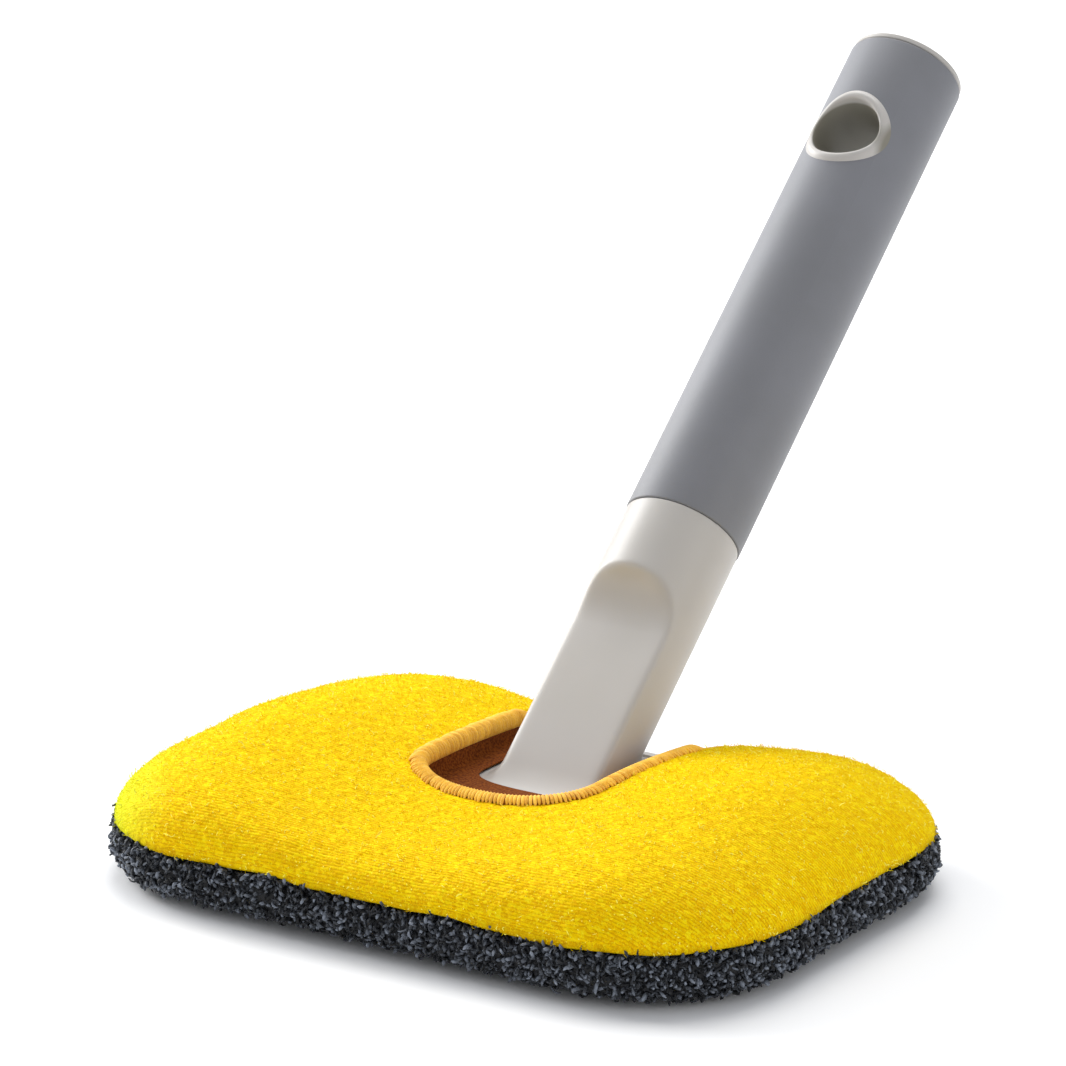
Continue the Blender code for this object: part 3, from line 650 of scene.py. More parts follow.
def coverGrid(columns, rows):
    # points on the crown, laid out like the panel it is sewn from
    u, v = np.meshgrid(np.linspace(-1, 1, columns + 1), np.linspace(-1, 1, rows + 1))
    ring = np.maximum(np.maximum(np.abs(u), np.abs(v)), 1e-9)
    squareU, squareV = u / ring, v / ring
    halfLength, halfWidth, corner = cover["halfLength"], cover["halfWidth"], cover["corner"]
    straightU, straightV = 1 - corner / halfLength, 1 - corner / halfWidth
    shareV = (np.abs(squareV) - straightV) / (1 - straightV)
    shareU = (np.abs(squareU) - straightU) / (1 - straightU)
    atEnd = np.abs(squareU) >= np.abs(squareV)
    angle = np.where(atEnd, math.pi / 4 * shareV, math.pi / 2 - math.pi / 4 * shareU)
    inCorner = (np.abs(squareU) > straightU) & (np.abs(squareV) > straightV)
    cornerX = np.sign(squareU) * (halfLength - corner + corner * np.cos(angle))
    cornerY = np.sign(squareV) * (halfWidth - corner + corner * np.sin(angle))
    spread = 1 - (1 - ring) ** yellowTop["spread"]
    x = np.where(inCorner, cornerX, squareU * halfLength) * spread
    y = np.where(inCorner, cornerY, squareV * halfWidth) * spread
    return x.ravel(), y.ravel()


def arcTables(steps=300):
    # distance along the cloth from its middle line and from its front seam
    xs = np.linspace(-cover["halfLength"], cover["halfLength"], steps)
    ys = np.linspace(-cover["halfWidth"], cover["halfWidth"], steps)
    heights = topHeight(*np.meshgrid(xs, ys, indexing="ij"))
    runX = np.hypot(np.diff(heights, axis=0), xs[1] - xs[0])
    runY = np.hypot(np.diff(heights, axis=1), ys[1] - ys[0])
    alongX = np.concatenate([np.zeros((1, steps)), np.cumsum(runX, axis=0)])
    alongY = np.concatenate([np.zeros((steps, 1)), np.cumsum(runY, axis=1)], 1)
    return xs, ys, alongX - alongX[steps // 2], alongY


def fromTable(table, xs, ys, x, y):
    # the table's value at each point, blended between its four nearest entries
    placeX = np.clip((x - xs[0]) / (xs[1] - xs[0]), 0, len(xs) - 1.001)
    placeY = np.clip((y - ys[0]) / (ys[1] - ys[0]), 0, len(ys) - 1.001)
    i, j = placeX.astype(int), placeY.astype(int)
    a, b = placeX - i, placeY - j
    near = table[i, j] * (1 - b) + table[i, j + 1] * b
    far = table[i + 1, j] * (1 - b) + table[i + 1, j + 1] * b
    return near * (1 - a) + far * a


def seamWave(x, y):
    # the seam's slow wander, in metres
    angle = np.arctan2(y, x)
    waves = sum(share * np.sin(angle * often + start) for share, often, start in yellowTop["seamWaves"])
    return waves * yellowTop["seamWave"]


def fitEdges(sheet, edge, back):
    # the sheet's boundary is drawn to the seam and the edge of the opening
    shape = bmesh.new()
    shape.from_mesh(sheet.data)
    bmesh.ops.delete(shape, geom=[v for v in shape.verts if not v.link_faces], context="VERTS")
    down = rowsOf(edge[0, 0], np.linspace(edge[0, 1], back, 60))
    rim = np.concatenate([edge, down, down * [-1, 1]])
    for vertex in shape.verts:
        if vertex.is_boundary and float(coverRatio(vertex.co.x, vertex.co.y)) > 0.999:
            vertex.co.z = cover["seamHeight"]
        elif vertex.is_boundary:
            away = np.hypot(rim[:, 0] - vertex.co.x, rim[:, 1] - vertex.co.y)
            x, y = rim[int(away.argmin())]
            vertex.co = (x, y, float(topHeight(x, y)))
    bmesh.ops.remove_doubles(shape, verts=shape.verts, dist=0.00005)
    for vertex in shape.verts:
        ratio = float(coverRatio(vertex.co.x, vertex.co.y))
        wave = float(seamWave(vertex.co.x, vertex.co.y))
        vertex.co.z += wave * min(max((ratio - 0.8) / 0.2, 0), 1) - yellowTop["sink"] * (ratio < 0.999)
    shape.to_mesh(sheet.data)
    shape.free()


def buildYellowTop(spec):
    x, y = coverGrid(spec["columns"], spec["rows"])
    faces = gridFaces(spec["rows"] + 1, spec["columns"] + 1)
    edge = openingEdge(spec["edgeGrow"])
    back = cover["halfWidth"] + 0.01
    outline = np.concatenate([[[edge[0, 0], back]], edge, [[-edge[0, 0], back]]])
    faces = faces[~insideOutline(x[faces].mean(1), y[faces].mean(1), outline)]
    sheet = meshPiece("yellowTop", rowsOf(x, y, topHeight(x, y)), faces)
    fitEdges(sheet, edge, back)
    modify(sheet, "SOLIDIFY", thickness=spec["thickness"], offset=-1)
    modify(sheet, "SUBSURF", levels=2, render_levels=2)
    points, normals = readPoints(sheet), readPoints(sheet, "normal")
    # the knit's own map, from distances along the cloth, with 100 mm as 1
    xs, ys, alongX, alongY = arcTables()
    knit = rowsOf(*(fromTable(table, xs, ys, points[:, 0], points[:, 1]) for table in (alongX, alongY)))
    corners = np.zeros(len(sheet.data.loops), int)
    sheet.data.loops.foreach_get("vertex_index", corners)
    sheet.data.uv_layers.new(name="knit").data.foreach_set("uv", (knit[corners] * 10).ravel())
    # swells and clumps, on the outer face only
    outer = np.clip((normals[:, 2] + 0.25) / 0.3, 0, 1) * (points[:, 2] > cover["seamHeight"] + 0.0002)
    swell = fineNoise(points, spec["swellSize"], 3) * spec["unevenness"]
    coarse, fine = spec["clumpSizes"]
    clumps = (fineNoise(points, coarse, 5) + 0.6 * fineNoise(points, fine, 6)) * spec["pile"]
    movePoints(sheet, points + normals * ((swell + clumps) * outer)[:, None])
    finish(sheet, "cover", microfibre, 60)
    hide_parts("cover_top")
    return sheet


topSheet = buildYellowTop(yellowTop)
print("yellow top:", len(topSheet.data.polygons), "faces")


# filaments, curls and stitches are one small tube, laid many times

tubeSwell = [(0, 0.75), (0.25, 1), (0.8, 0.95), (1, 0.45)]     # share of its length, share of its radius


def scatter(obj, count, seed, keep):
    # random places on an object's faces, with their normals; keep is asked the place of each face
    # and the upward part of its normal
    mesh = obj.data
    mesh.calc_loop_triangles()
    triangles = np.zeros(len(mesh.loop_triangles) * 3, int)
    mesh.loop_triangles.foreach_get("vertices", triangles)
    points = readPoints(obj)
    a, b, c = (points[triangles.reshape(-1, 3)[:, k]] for k in range(3))
    across = np.cross(b - a, c - a)
    area = np.linalg.norm(across, axis=1)
    normals = across / np.maximum(area, 1e-12)[:, None]
    weight = area * keep(*((a + b + c) / 3).T, normals[:, 2])
    generator = np.random.default_rng(seed)
    chosen = generator.choice(len(area), count, p=weight / weight.sum())
    u, v = generator.random(count), generator.random(count)
    flip = u + v > 1
    u, v = np.where(flip, 1 - u, u), np.where(flip, 1 - v, v)
    spots = a[chosen] + (b - a)[chosen] * u[:, None] + (c - a)[chosen] * v[:, None]
    return spots, normals[chosen]


def sweepTubes(name, centre, first, second, thickness, sides, tip=None):
    # tubes along many short paths: centre is tubes x steps x 3, first and second lie across the path;
    # each ends in its tip, or flat
    count, steps = centre.shape[:2]
    angle = turnsOf(sides)[:, None]
    ring = np.cos(angle) * first[:, :, None, :] + np.sin(angle) * second[:, :, None, :]
    points = centre[:, :, None, :] + ring * thickness[:, :, None, None]
    points = points.reshape(count, steps * sides, 3)
    block = steps * sides
    last = block - sides
    one = []
    for low in range(0, last, sides):
        for k in range(sides):
            n = (k + 1) % sides
            one.append((low + k, low + sides + k, low + sides + n))
            one.append((low + k, low + sides + n, low + n))
    if tip is None:
        one += [(last, last + k + 1, last + k) for k in range(1, sides - 1)]
    else:
        points = np.concatenate([points, tip[:, None, :]], 1)
        one += [(last + k, block, last + (k + 1) % sides) for k in range(sides)]
        block += 1
    one += [(0, k, k + 1) for k in range(1, sides - 1)]
    faces = np.array(one)[None] + (np.arange(count) * block)[:, None, None]
    return meshPiece(name, points, faces.reshape(-1, 3))


def bentTubes(name, start, heading, sideways, length, radius, bend, sides, rings, tone, rootShade=1.0):
    # tubes that leave start along heading and curl towards sideways by bend radians;
    # the tone at their roots is that share of the tone at their tips: painted shade that darkens the roots
    heading = unit(heading)
    sideways = unit(sideways - heading * (sideways * heading).sum(1, keepdims=True))
    third = np.cross(heading, sideways)[:, None, :]
    along = np.linspace(0, 1, rings)
    turn = (bend[:, None] * along)[..., None]
    arm = (length / bend)[:, None, None]
    ahead, aside = heading[:, None, :], sideways[:, None, :]
    centre = start[:, None, :] + arm * np.sin(turn) * ahead + arm * (1 - np.cos(turn)) * aside
    forward = np.cos(turn) * ahead + np.sin(turn) * aside
    thickness = radius[:, None] * np.interp(along, *zip(*tubeSwell))
    tip = centre[:, -1] + forward[:, -1] * (radius * 0.35)[:, None]
    obj = sweepTubes(name, centre, np.cross(forward, third), third, thickness, sides, tip)
    shadeRamp = rootShade + (1 - rootShade) * np.minimum(along * 1.4, 1)
    shadeOf(obj, tone[:, None] * np.append(np.repeat(shadeRamp, sides), 1))
    return obj


# nap on the yellow top

napSpec = {
    "each": 12000, "length": 0.00056, "radius": 0.000085, "row": 0.00088, "rootDepth": 0.00015,
    "bare": 0.0023, "hemBare": 0.0005,      # bare cloth beside the binding, on the U and on the hem
    "lengths": (0.6, 1.35), "radii": (0.7, 1.25), "bend": (0.8, 3.0),      # from least to most
    "upright": 0.8, "brushed": 0.4, "loose": 0.5,       # how far each pulls on a filament's heading
    # how far the filaments gather into the courses, where that starts, and over what width
    "inRow": 0.8, "rowFrom": 0.02, "rowFade": 0.04,
    # the ground they stand on: so deep under the crown at most, or so near the seam, and so far turned down
    "deepest": 0.0016, "rimFrom": 0.97, "mostDown": -0.6,
    "glints": 0.10, "glintRadius": 2.0,     # share of split ends painted as glints: the palest colour, and thicker
    # long ends that stand out of the pile
    "strays": 0.20, "strayLength": 2.6, "strayRadius": 0.8, "strayUpright": 1.6,
    "toneShape": (1.3, 1.1), "toneMost": 0.97,
}


def buildNap(spec, sheet):
    edge = openingEdge(0.0)[::3]
    bare = spec["bare"] + (spec["hemBare"] - spec["bare"]) * onHem(edge[:, 1])
    xs, ys, _, alongY = arcTables()

    def outside(x, y, z, upward):
        outer = (topHeight(x, y) - z < spec["deepest"]) | (coverRatio(x, y) > spec["rimFrom"])
        return outer & (upward > spec["mostDown"]) & (z > cover["seamHeight"] - 0.0002)

    total = 0
    for part, letter in enumerate("ABCD"):
        spots, normals = scatter(sheet, spec["each"], 11 + part, outside)
        away = np.sqrt(((spots[:, None, :2] - edge[None]) ** 2).sum(-1))
        clear = away.min(1) > bare[away.argmin(1)]
        spots, normals = spots[clear], normals[clear]
        # the loops stand in the knit's courses
        course = fromTable(alongY, xs, ys, spots[:, 0], spots[:, 1]) / spec["row"]
        downhill = unit(rowsOf(0, normals[:, 2], -normals[:, 1]))
        front = ease((spec["rowFrom"] - spots[:, 1]) / spec["rowFade"])
        shift = (np.round(course) - course) * spec["row"] * spec["inRow"] * front
        spots = spots + downhill * shift[:, None]
        generator = np.random.default_rng(41 + part)
        count = len(spots)
        # the pile is brushed along the head, with stray ends that stand up
        brushed = rowsOf(generator.choice([-1.0, 1.0], count), 0, 0)
        loose = generator.normal(size=(count, 3)) * spec["loose"]
        heading = unit(normals * spec["upright"] + brushed * spec["brushed"] + loose)
        sideways = generator.normal(size=(count, 3)) + brushed
        length = spec["length"] * generator.uniform(*spec["lengths"], count)
        radius = spec["radius"] * generator.uniform(*spec["radii"], count)
        bend = generator.uniform(*spec["bend"], count)
        stray = generator.random(count) < spec["strays"]
        heading = np.where(stray[:, None], unit(normals * spec["strayUpright"] + heading), heading)
        length = np.where(stray, length * spec["strayLength"], length)
        radius = np.where(stray, radius * spec["strayRadius"], radius)
        tone = generator.beta(*spec["toneShape"], count) * spec["toneMost"]
        # painted highlight: the glints take the palest colour
        glint = generator.random(count) < spec["glints"]
        tone = np.where(glint, 1.0, tone)
        radius = np.where(glint, radius * spec["glintRadius"], radius)
        roots = spots - normals * spec["rootDepth"]
        name = "microfibreNap" + letter
        piece = bentTubes(name, roots, heading, sideways, length, radius, bend, 3, 3, tone)
        finish(piece, "cover", nap, 60)
        total += len(piece.data.polygons)
    return total


print("nap:", buildNap(napSpec, topSheet), "faces")


# grey base of the cover

chenilleBase = {
    # how far out from the seam, and how high, from the inside of the rim to the sole
    "profile": [
        (-0.0085, 0.0075), (-0.0085, 0.0128), (-0.0040, 0.0132), (-0.0016, 0.0128), (-0.0004, 0.0112),
        (-0.0001, 0.0090), (-0.0005, 0.0066), (-0.0016, 0.0045), (-0.0038, 0.0027), (-0.0080, 0.0014),
        (-0.0170, 0.0010),
    ],
    "around": 150,
    "mouthLip": 0.0098,         # the base sags at the mouth, where nothing holds it up
    "tone": 0.05,               # painted shade: near black between the curls, where they shade the base
}


def buildChenilleBase(spec):
    around = np.arange(spec["around"]) / spec["around"]
    rings = []
    for grow, height in spec["profile"]:
        x, y = seamPoint(around, grow)[:2]
        sag = (height - min(height, spec["mouthLip"])) * atMouth(x, y)
        rings.append(rowsOf(x, y, height - sag))
    body = ringedPiece("chenilleBase", np.stack(rings), otherWay=True, cutEnds=True)
    # painted shade: the whole base body is near black
    shadeOf(body, np.full(len(body.data.vertices), spec["tone"]))
    finish(body, "cover", chenille, 60)
    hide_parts("cover_base")
    return body


# curls of chenille yarn all over the base

curls = {
    "side": 12000, "seam": 1100, "mouth": 1500, "sole": 1500,
    "plumpShare": 0.5, "solePlumpShare": 0.1,       # the others are long and thin
    "plumpLength": (0.0019, 0.0031), "thinLength": (0.0028, 0.0048),
    "plumpRadius": (0.00038, 0.00060), "thinRadius": (0.00022, 0.00034),
    "plumpBend": (0.8, 3.0), "thinBend": (2.6, 6.0),
    "wildness": 0.45, "soleWildness": 1.25,         # how far they stray from standing straight out
    # rootShade: painted shade, the curls darken towards their roots where they shade each other
    "rootDepth": 0.0006, "rootShade": 0.05, "droop": 0.25,
    "plumpTone": (1.2, 1.2), "thinTone": (1.0, 1.6),
    "mouthShorter": 0.4, "mouthThinner": 0.1,
    "floorGap": 0.0004, "flattest": 0.0001, "give": 0.0006,     # curls that reach lower are pressed flat
    "seamInset": 0.0006, "seamTop": 0.0136, "seamHalf": 0.0745,
    # where the others grow: share of the way to the seam, lowest and highest on the side
    "sideFrom": 0.965, "sideLow": 0.0018, "sideHigh": 0.0134,
    "mouthFrom": 0.062, "mouthHalf": 0.075, "soleHigh": 0.0032, "soleDown": -0.5,
}


def layCurls(name, spots, normals, seed, plumpShare=curls["plumpShare"], wildness=curls["wildness"]):
    generator = np.random.default_rng(seed)
    count = len(spots)
    plump = generator.random(count) < plumpShare

    def either(kind):
        stout, thin = (generator.uniform(*curls[sort + kind], count) for sort in ("plump", "thin"))
        return np.where(plump, stout, thin)

    length, radius, bend = either("Length"), either("Radius"), either("Bend")
    mouth = atMouth(spots[:, 0], spots[:, 1])
    length = length * (1 - curls["mouthShorter"] * mouth)
    radius = radius * (1 - curls["mouthThinner"] * mouth)
    heading = unit(normals + generator.normal(size=(count, 3)) * wildness)
    sideways = generator.normal(size=(count, 3)) + np.array([0, 0, -curls["droop"]])
    plumpTone, thinTone = (generator.beta(*curls[kind], count) for kind in ("plumpTone", "thinTone"))
    tone = np.where(plump, plumpTone, thinTone)
    roots = spots - normals * curls["rootDepth"]
    piece = bentTubes(name, roots, heading, sideways, length, radius, bend, 4, 6, tone, curls["rootShade"])
    points = readPoints(piece)
    gap, flat = curls["floorGap"], curls["flattest"]
    low = points[:, 2] < gap
    points[low, 2] = flat + (gap - flat) / (1 + (gap - points[low, 2]) / curls["give"])
    movePoints(piece, points)
    finish(piece, "cover", chenille, 100)


def buildCurls(spec, base):
    def onSide(x, y, z, upward):
        return (coverRatio(x, y) > spec["sideFrom"]) & (z > spec["sideLow"]) & (z < spec["sideHigh"])

    def atBack(x, y, z, upward):
        return (y > spec["mouthFrom"]) & (np.abs(x) < spec["mouthHalf"]) & (z > spec["sideLow"])

    def onSole(x, y, z, upward):
        return (upward < spec["soleDown"]) & (z < spec["soleHigh"])

    spots, normals = scatter(base, spec["side"], 21, onSide)
    # more of them right under the seam, so that the yellow edge lies among curls
    generator = np.random.default_rng(33)
    x, y, outX, outY = seamPoint(generator.random(spec["seam"]), -spec["seamInset"])
    shut = (y < cover["mouthStart"]) | (np.abs(x) > spec["seamHalf"])
    underSeam = rowsOf(x, y, spec["seamTop"] + seamWave(x, y))
    outward = unit(rowsOf(outX, outY, 0.1))
    spots, normals = np.concatenate([spots, underSeam[shut]]), np.concatenate([normals, outward[shut]])
    quarter = (spots[:, 0] > 0) * 1 + (spots[:, 1] > 0) * 2
    for number, name in enumerate(["frontLeftCurls", "frontRightCurls", "backLeftCurls", "backRightCurls"]):
        here = quarter == number
        layCurls(name, spots[here], normals[here], 22 + number)
    layCurls("mouthCurls", *scatter(base, spec["mouth"], 26, atBack), 29)
    sole = scatter(base, spec["sole"], 27, onSole)
    layCurls("soleCurls", *sole, 28, spec["solePlumpShare"], spec["soleWildness"])


buildCurls(curls, buildChenilleBase(chenilleBase))
print("chenille laid")


# overlocked binding round the opening

binding = {
    "pitch": 0.00098,           # from stitch to stitch
    "roll": 0.00132,            # radius of the rolled edge under the thread
    "sides": 14, "coreTone": 0.02,
    "grow": -0.0003, "depth": 0.0012,       # from the edge of the cloth to the middle of the roll
    "flank": 0.0005,            # how far it is sewn down inside the opening
    "floor": 0.0196,            # the head plate slides out under this height
    "thread": 0.00050, "threadSwell": [(0, 0.45), (0.12, 1), (0.88, 1), (1, 0.55)],
    "tone": 0.84, "toneSpread": 0.12,
    "bite": 0.0025,             # how far the outer tips reach into the yellow cloth
    "lean": 0.0009,
    "hemShare": 0.50, "hemSink": 0.0010, "hemBite": 0.85,   # thinner, lower and narrower along the hem
    # a stitch from its outer tip over the roll to its inner underside: out, up, and share of the flank
    "stitch": [
        (1.0, 0.30, 0), (0.80, 0.62, 0), (0.45, 0.92, 0), (0.05, 1.05, 0), (-0.40, 0.98, 0),
        (-0.80, 0.62, 0), (-1.0, 0.10, 0), (-1.02, -0.20, 0.35), (-0.92, -0.55, 0.75), (-0.50, -0.95, 1.0),
    ],
}


def edgeFrames(pitch):
    # places along the roll, with the directions along it, away from the opening, and up
    edge = openingEdge(binding["grow"], pitch)
    x, y = edge[:, 0], edge[:, 1]
    normal = topNormal(x, y)
    place = rowsOf(x, y, topHeight(x, y)) - normal * binding["depth"]
    ahead = unit(np.gradient(place, axis=0))
    outward = unit(np.cross(ahead, normal))
    if outward[len(edge) // 2, 1] > 0:
        outward = -outward
    up = unit(np.cross(outward, ahead))
    return place, ahead, outward, np.where(up[:, 2:] < 0, -up, up)


def buildBinding(spec):
    generator = np.random.default_rng(31)
    place, ahead, outward, up = edgeFrames(spec["pitch"])
    count, steps = len(place), len(spec["stitch"])
    hem = onHem(place[:, 1])
    slim = 1 - spec["hemShare"] * hem
    roll = spec["roll"] * slim
    place = place - up * (spec["hemSink"] * hem)[:, None]
    # the rolled edge itself, deeper inside the opening than over it
    angle = turnsOf(spec["sides"])[:, None]
    flank = np.clip(place[:, 2] - roll - spec["floor"], 0, spec["flank"])
    ring = np.cos(angle) * outward[:, None, :] + np.sin(angle) * up[:, None, :]
    rings = place[:, None, :] + roll[:, None, None] * ring
    rings[:, :, 2] -= flank[:, None] * np.maximum(-np.sin(angle[:, 0]), 0)
    core = ringedPiece("rolledEdge", rings)
    shadeOf(core, np.full(len(core.data.vertices), spec["coreTone"]))
    finish(core, "cover", thread, 60)
    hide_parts("opening_binding")
    reachOut = spec["bite"] * generator.uniform(0.82, 1.12, count) * (1 - spec["hemBite"] * hem)
    wrap = roll + spec["thread"] * 0.75 * slim
    slant = spec["lean"] * generator.uniform(0.7, 1.3, count)
    centres = []
    for step, (out, rise, low) in enumerate(spec["stitch"]):
        reach = out * (reachOut if out > 0 else wrap)
        drift = slant * (step / (steps - 1) - 0.5)
        spot = place + outward * reach[:, None] + up * (rise * wrap)[:, None] + ahead * drift[:, None]
        spot[:, 2] -= flank * low
        centres.append(spot)
    centres = np.stack(centres, 1)
    tone = np.clip(spec["tone"] + generator.normal(size=count) * spec["toneSpread"], 0, 1)
    # two directions across each thread, the second across the first
    along = unit(np.gradient(centres, axis=1))
    middles = centres.mean(1)
    beside = unit(np.roll(middles, -1, axis=0) - middles)[:, None, :]
    first = unit(np.cross(along, beside))
    swell = np.interp(np.linspace(0, 1, steps), *zip(*spec["threadSwell"]))
    stitches = sweepTubes(
        "overlockStitches", centres, first, np.cross(along, first), spec["thread"] * swell[None], 6
    )
    shadeOf(stitches, np.repeat(tone, steps * 6))
    editMesh(stitches, turnOutward)
    finish(stitches, "cover", thread, 60)


buildBinding(binding)
print("binding sewn")


# lining inside the opening, from under the binding down to just over the plate; its dark amber brown is
# painted shade

lining = {
    # share of the way from the binding to the neck's foot, and share of the height over the low edge
    "rows": [(-0.02, 1.0), (0.01, 0.60), (0.05, 0.30), (0.15, 0.16), (0.40, 0.08), (0.75, 0.03), (1.0, 0.0)],
    "pitch": 0.0012, "low": 0.0210, "thickness": 0.00028,
    "half": 0.0285, "end": 0.0460,          # it ends before the hem
    "footHalf": 0.0197, "footFront": 0.0032, "footRound": 0.0095,
}


def buildLining(spec):
    place = edgeFrames(spec["pitch"])[0]
    place = place[(np.abs(place[:, 0]) < spec["half"]) & (place[:, 1] < spec["end"])]
    x, y = place[:, 0], place[:, 1]
    # the same U, drawn round the neck's foot
    bendY = cover["notchRound"] - cover["notchFront"]
    footBend = spec["footFront"] + spec["footRound"]
    turn = np.arctan2((bendY - y) / cover["notchRound"], np.abs(x) / cover["notchHalf"])
    turn = np.clip(turn, 0, math.pi / 2)
    side = y > bendY
    sideY = footBend + (y - bendY) * (spec["end"] - footBend) / (spec["end"] - bendY)
    footX = np.where(side, spec["footHalf"], spec["footHalf"] * np.cos(turn) ** 0.7) * np.sign(x)
    footY = np.where(side, sideY, footBend - spec["footRound"] * np.sin(turn) ** 0.7)
    under = place[:, 2] - binding["roll"] - binding["flank"] * 0.5
    rings = []
    for inward, share in spec["rows"]:
        height = spec["low"] + (under - spec["low"]) * share
        rings.append(rowsOf(x + (footX - x) * inward, y + (footY - y) * inward, height))
    piece = meshPiece("openingLining", np.stack(rings), gridFaces(len(rings), len(place)))
    modify(piece, "SOLIDIFY", thickness=spec["thickness"], offset=0)
    finish(piece, "cover", tricot, 60)


buildLining(lining)
print("lining sewn in")


# foam inside the cover

foamSpec = {"voxel": 0.0016, "softening": 0.5, "rounds": 3}


def buildFoam(name, node, spec):
    copy = newObject(name, nodes[node].data.copy())
    editMesh(copy, lambda: bpy.ops.mesh.remove_doubles(threshold=0.00001))
    modify(copy, "REMESH", mode="VOXEL", voxel_size=spec["voxel"])
    modify(copy, "SMOOTH", factor=spec["softening"], iterations=spec["rounds"])
    finish(copy, "cover", foam, 60)
    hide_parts(node)


buildFoam("foamLobes", "foam_lobes", foamSpec)
buildFoam("foamPad", "foam_pad", foamSpec)
print("foam cut")


# the handle's axes: x across, y towards its back, and along it from its foot

handle = {"lean": 42.1, "footBack": 0.0040, "footHeight": 0.0080}

handleTurn = math.radians(handle["lean"] - 90)
sine, cosine = math.sin(handleTurn), math.cos(handleTurn)
handleMatrix = (
    Matrix.Translation((0, handle["footBack"], handle["footHeight"])) @ Matrix.Rotation(handleTurn, 4, "X")
)


def toWorld(x, y, along):
    worldY = y * cosine - along * sine + handle["footBack"]
    return rowsOf(x, worldY, y * sine + along * cosine + handle["footHeight"])


# foot flange under the neck

flange = {
    "top": 0.0203, "low": 0.0179, "size": (0.056, 0.064), "middleY": 0.0136,
    "corner": 0.020, "edgeRound": 0.0017,
}


def buildFlange(spec):
    startFresh()
    low, high = spec["low"], spec["top"]
    bpy.ops.mesh.primitive_cube_add(size=1, location=(0, spec["middleY"], (low + high) / 2))
    piece = bpy.context.object
    piece.name = "footFlange"
    piece.scale = (*spec["size"], high - low)
    bakePlace(piece)
    bevelWhere(piece, lambda e: abs(e.verts[0].co.z - e.verts[1].co.z) > 0.001, spec["corner"], 16)

    def roundTop(edge):
        return all(v.co.z > high - 0.00001 for v in edge.verts) and edge.calc_face_angle(0) > 1

    bevelWhere(piece, roundTop, spec["edgeRound"], 5)
    finish(piece, "handle", plastic, 40)
    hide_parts("handle_core")


# neck and tube

neck = {
    "radius": 0.01575, "top": 0.0950, "tubeRadius": 0.0139, "tubeTop": 0.1980,
    "scoopFlat": 0.0069, "scoopBend": 0.0604, "scoopRadius": 0.0155, "scoopTop": 0.0745,
    "scoopClose": 2.2,          # how fast the scoop runs out above its top
    "edgeSharpness": 22.0,      # higher gives a crisper edge round the scoop
    "columns": 192, "ringPitch": 0.0006,
    "fillet": 0.0044, "skirt": 0.0012,      # round into the flange, and how far it goes on inside
    "footEnd": 0.050,           # below here the neck is straight
    # the shoulder under the grip: how far in from the radius, and how far below the top
    "shoulder": [(0, 0.0004), (0.0001, 0.0001), (0.0004, 0)],
}


def neckRadiusAt(angle, along):
    # the round of the neck, cut by the scoop with a soft edge; angle 0 is the scoop's side
    rise = np.clip((along - neck["scoopBend"]) / neck["scoopRadius"], 0, 0.91)
    scoop = neck["scoopFlat"] + neck["scoopRadius"] * (1 - np.sqrt(1 - rise ** 2))
    scoop = scoop + np.maximum(along - neck["scoopTop"], 0) * neck["scoopClose"]
    power = neck["edgeSharpness"]
    flat = np.maximum(np.cos(angle), 0) / scoop
    return ((1 / neck["radius"]) ** power + flat ** power) ** (-1 / power)


def buildNeck(spec, flangeTop):
    angle = turnsOf(spec["columns"])

    def ringOf(radius, along):
        return toWorld(radius * np.sin(angle), -radius * np.cos(angle), along)

    radius = neckRadiusAt(angle, 0.0)
    x, y = radius * np.sin(angle), -radius * np.cos(angle)

    def level(height, growth):
        # the section at a height over the floor, grown outwards
        along = (height - handle["footHeight"] - y * sine) / cosine
        ring = toWorld(x, y, along)
        ahead = np.roll(ring, -1, axis=0) - np.roll(ring, 1, axis=0)
        outward = unit(rowsOf(ahead[:, 1], -ahead[:, 0], 0))
        side = np.sign(((ring - ring.mean(0)) * outward).sum(1))[:, None]
        return ring + outward * side * growth, along

    rings = [level(flangeTop - spec["skirt"], spec["fillet"])[0]]
    for turn in np.linspace(0, math.pi / 2, 9):
        height = flangeTop + spec["fillet"] * (1 - math.cos(turn))
        ring, along = level(height, spec["fillet"] * (1 - math.sin(turn)))
        rings.append(ring)
    for share in np.linspace(0, 1, 14)[1:]:
        rings.append(toWorld(x, y, along * (1 - share) + spec["footEnd"] * share))
    pitch, top = spec["ringPitch"], spec["top"]
    for station in np.arange(spec["footEnd"] + pitch, top - spec["shoulder"][0][1], pitch):
        rings.append(ringOf(neckRadiusAt(angle, station), station))
    rings += [ringOf(spec["radius"] - inward, top - below) for inward, below in spec["shoulder"]]
    rings += [ringOf(spec["tubeRadius"], top), ringOf(spec["tubeRadius"], spec["tubeTop"])]
    piece = ringedPiece("neck", np.stack(rings))
    finish(piece, "handle", plastic, 50)
    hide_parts("handle_core")


# grip sleeve

grip = {
    "radius": 0.0160, "start": 0.0951, "end": 0.2477, "sides": 160, "edgeRound": 0.00045,
    "holeStation": 0.2173, "holeCut": 0.0108, "holeSides": 96,
}


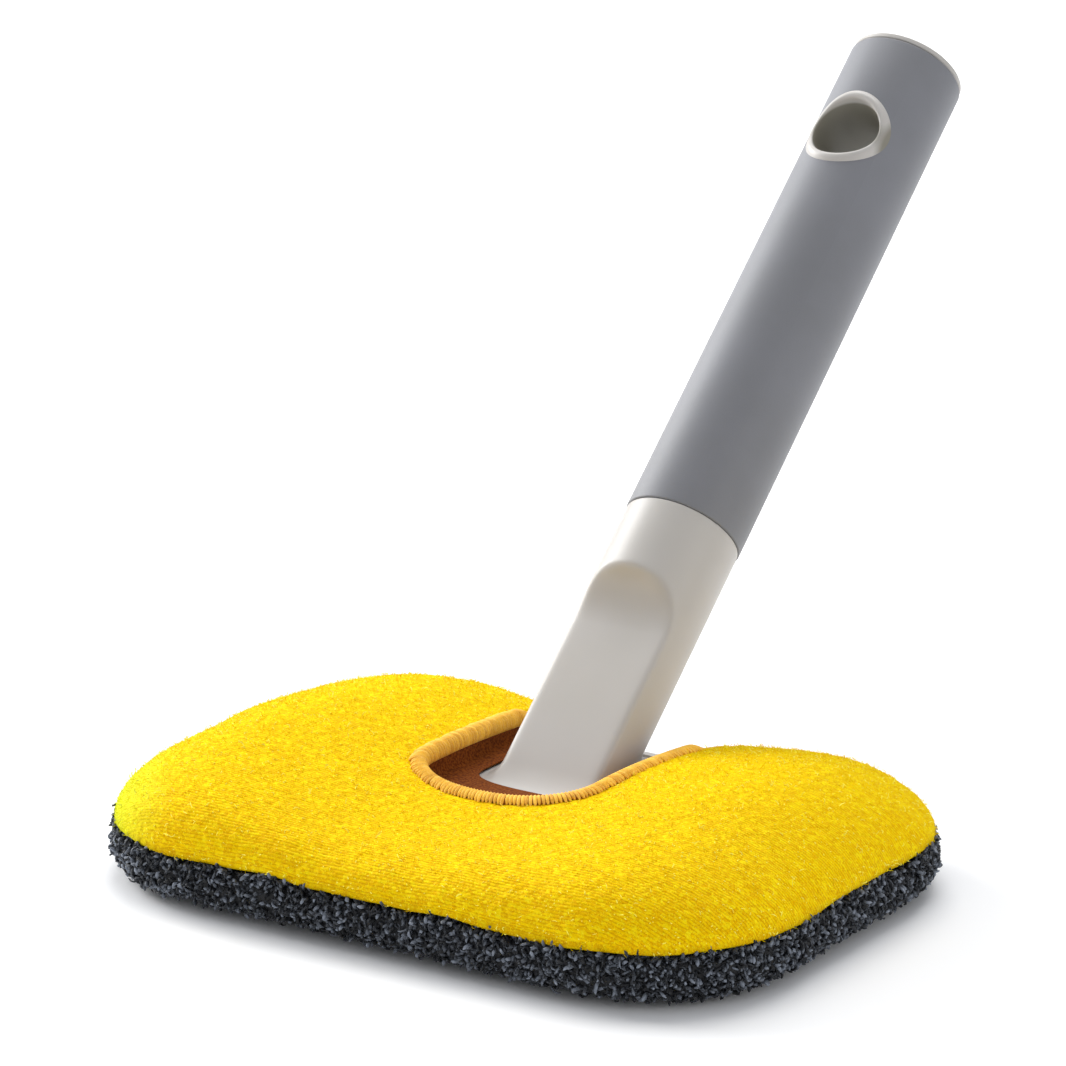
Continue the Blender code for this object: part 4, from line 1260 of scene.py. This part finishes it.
def buildGrip(spec):
    startFresh()
    length = spec["end"] - spec["start"]
    middle = (0, 0, spec["start"] + length / 2)
    bpy.ops.mesh.primitive_cylinder_add(
        vertices=spec["sides"], radius=spec["radius"], depth=length, location=middle
    )
    piece = bpy.context.object
    piece.name = "gripSleeve"
    bakePlace(piece)
    bevelWhere(piece, lambda e: e.calc_face_angle(0) > 1, spec["edgeRound"], 4)
    bpy.ops.mesh.primitive_cylinder_add(
        vertices=spec["holeSides"], radius=spec["holeCut"], depth=spec["radius"] * 3,
        location=(0, 0, spec["holeStation"]), rotation=(math.pi / 2, 0, 0),
    )
    cutter = bpy.context.object
    modify(piece, "BOOLEAN", operation="DIFFERENCE", solver="EXACT", object=cutter)
    bpy.data.objects.remove(cutter)
    piece.data.transform(handleMatrix)
    finish(piece, "handle", rubber, 30)
    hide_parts("grip_sleeve")


# liner of the hanging hole, with its raised lip

eyelet = {
    # distance from the hole's axis and height over the grip, from under the lip into the bore
    "lip": [
        (0.0112, -0.0012), (0.0122, -0.00045), (0.01205, -0.00012), (0.01180, 0.00012), (0.01145, 0.00042),
        (0.0110, 0.00072), (0.0105, 0.00088), (0.0100, 0.00086), (0.0096, 0.00060), (0.00936, 0.00015),
        (0.0093, -0.00060), (0.0093, -0.0040),
    ],
    "sides": 128,
}


def buildEyelet(spec):
    around = turnsOf(spec["sides"])
    station = grip["holeStation"]

    def ring(radius, height, side):
        x = radius * np.cos(around)
        surface = np.sqrt(grip["radius"] ** 2 - x ** 2) + height
        return toWorld(x, side * surface, station + radius * np.sin(around))

    rings = [ring(r, h, -1) for r, h in spec["lip"]] + [ring(r, h, 1) for r, h in reversed(spec["lip"])]
    faces = gridFaces(len(rings), spec["sides"], closedAround=True, closedOver=True)
    piece = meshPiece("hangEyelet", np.stack(rings), faces)
    editMesh(piece, turnOutward)
    shaded = makePlastic("mouldedAbsBore", tuple(toWorld(0.0, 0.0, station)))
    finish(piece, "handle", shaded, 70)
    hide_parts("hang_eyelet")


# cap that closes the tube

endCap = {
    "gap": 0.0003,              # from the grip's end, and inside its radius
    "dome": 0.0018, "rimHeight": 0.0012, "edgeCut": 0.0003,
    "plugRadius": 0.0110, "plugDepth": 0.0075, "sides": 128,
}


def buildEndCap(spec):
    # half of the cap's outline, from its middle over the edge to inside the tube
    seat, rim = grip["end"] + spec["gap"], grip["radius"] - spec["gap"]
    outline = [
        (rim * math.sin(turn), seat + spec["rimHeight"] + spec["dome"] * math.cos(turn))
        for turn in np.linspace(0, math.pi / 2, 9)
    ]
    outline += [(rim, seat + spec["edgeCut"]), (rim - spec["edgeCut"], seat), (spec["plugRadius"], seat)]
    outline += [(spec["plugRadius"], seat - spec["plugDepth"]), (0, seat - spec["plugDepth"])]
    mesh = bpy.data.meshes.new("endCap")
    mesh.from_pydata([(r, 0, h) for r, h in outline], [(i, i + 1) for i in range(len(outline) - 1)], [])
    piece = newObject("endCap", mesh)
    editMesh(piece, lambda: bpy.ops.mesh.spin(
        steps=spec["sides"], angle=2 * math.pi, center=(0, 0, 0), axis=(0, 0, 1)
    ))
    editMesh(piece, lambda: bpy.ops.mesh.remove_doubles(threshold=0.000005), turnOutward)
    piece.data.transform(handleMatrix)
    finish(piece, "handle", plastic, 40)
    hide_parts("end_cap")


buildNeck(neck, flange["top"])
buildFlange(flange)
buildGrip(grip)
buildEyelet(eyelet)
buildEndCap(endCap)
print("handle built")
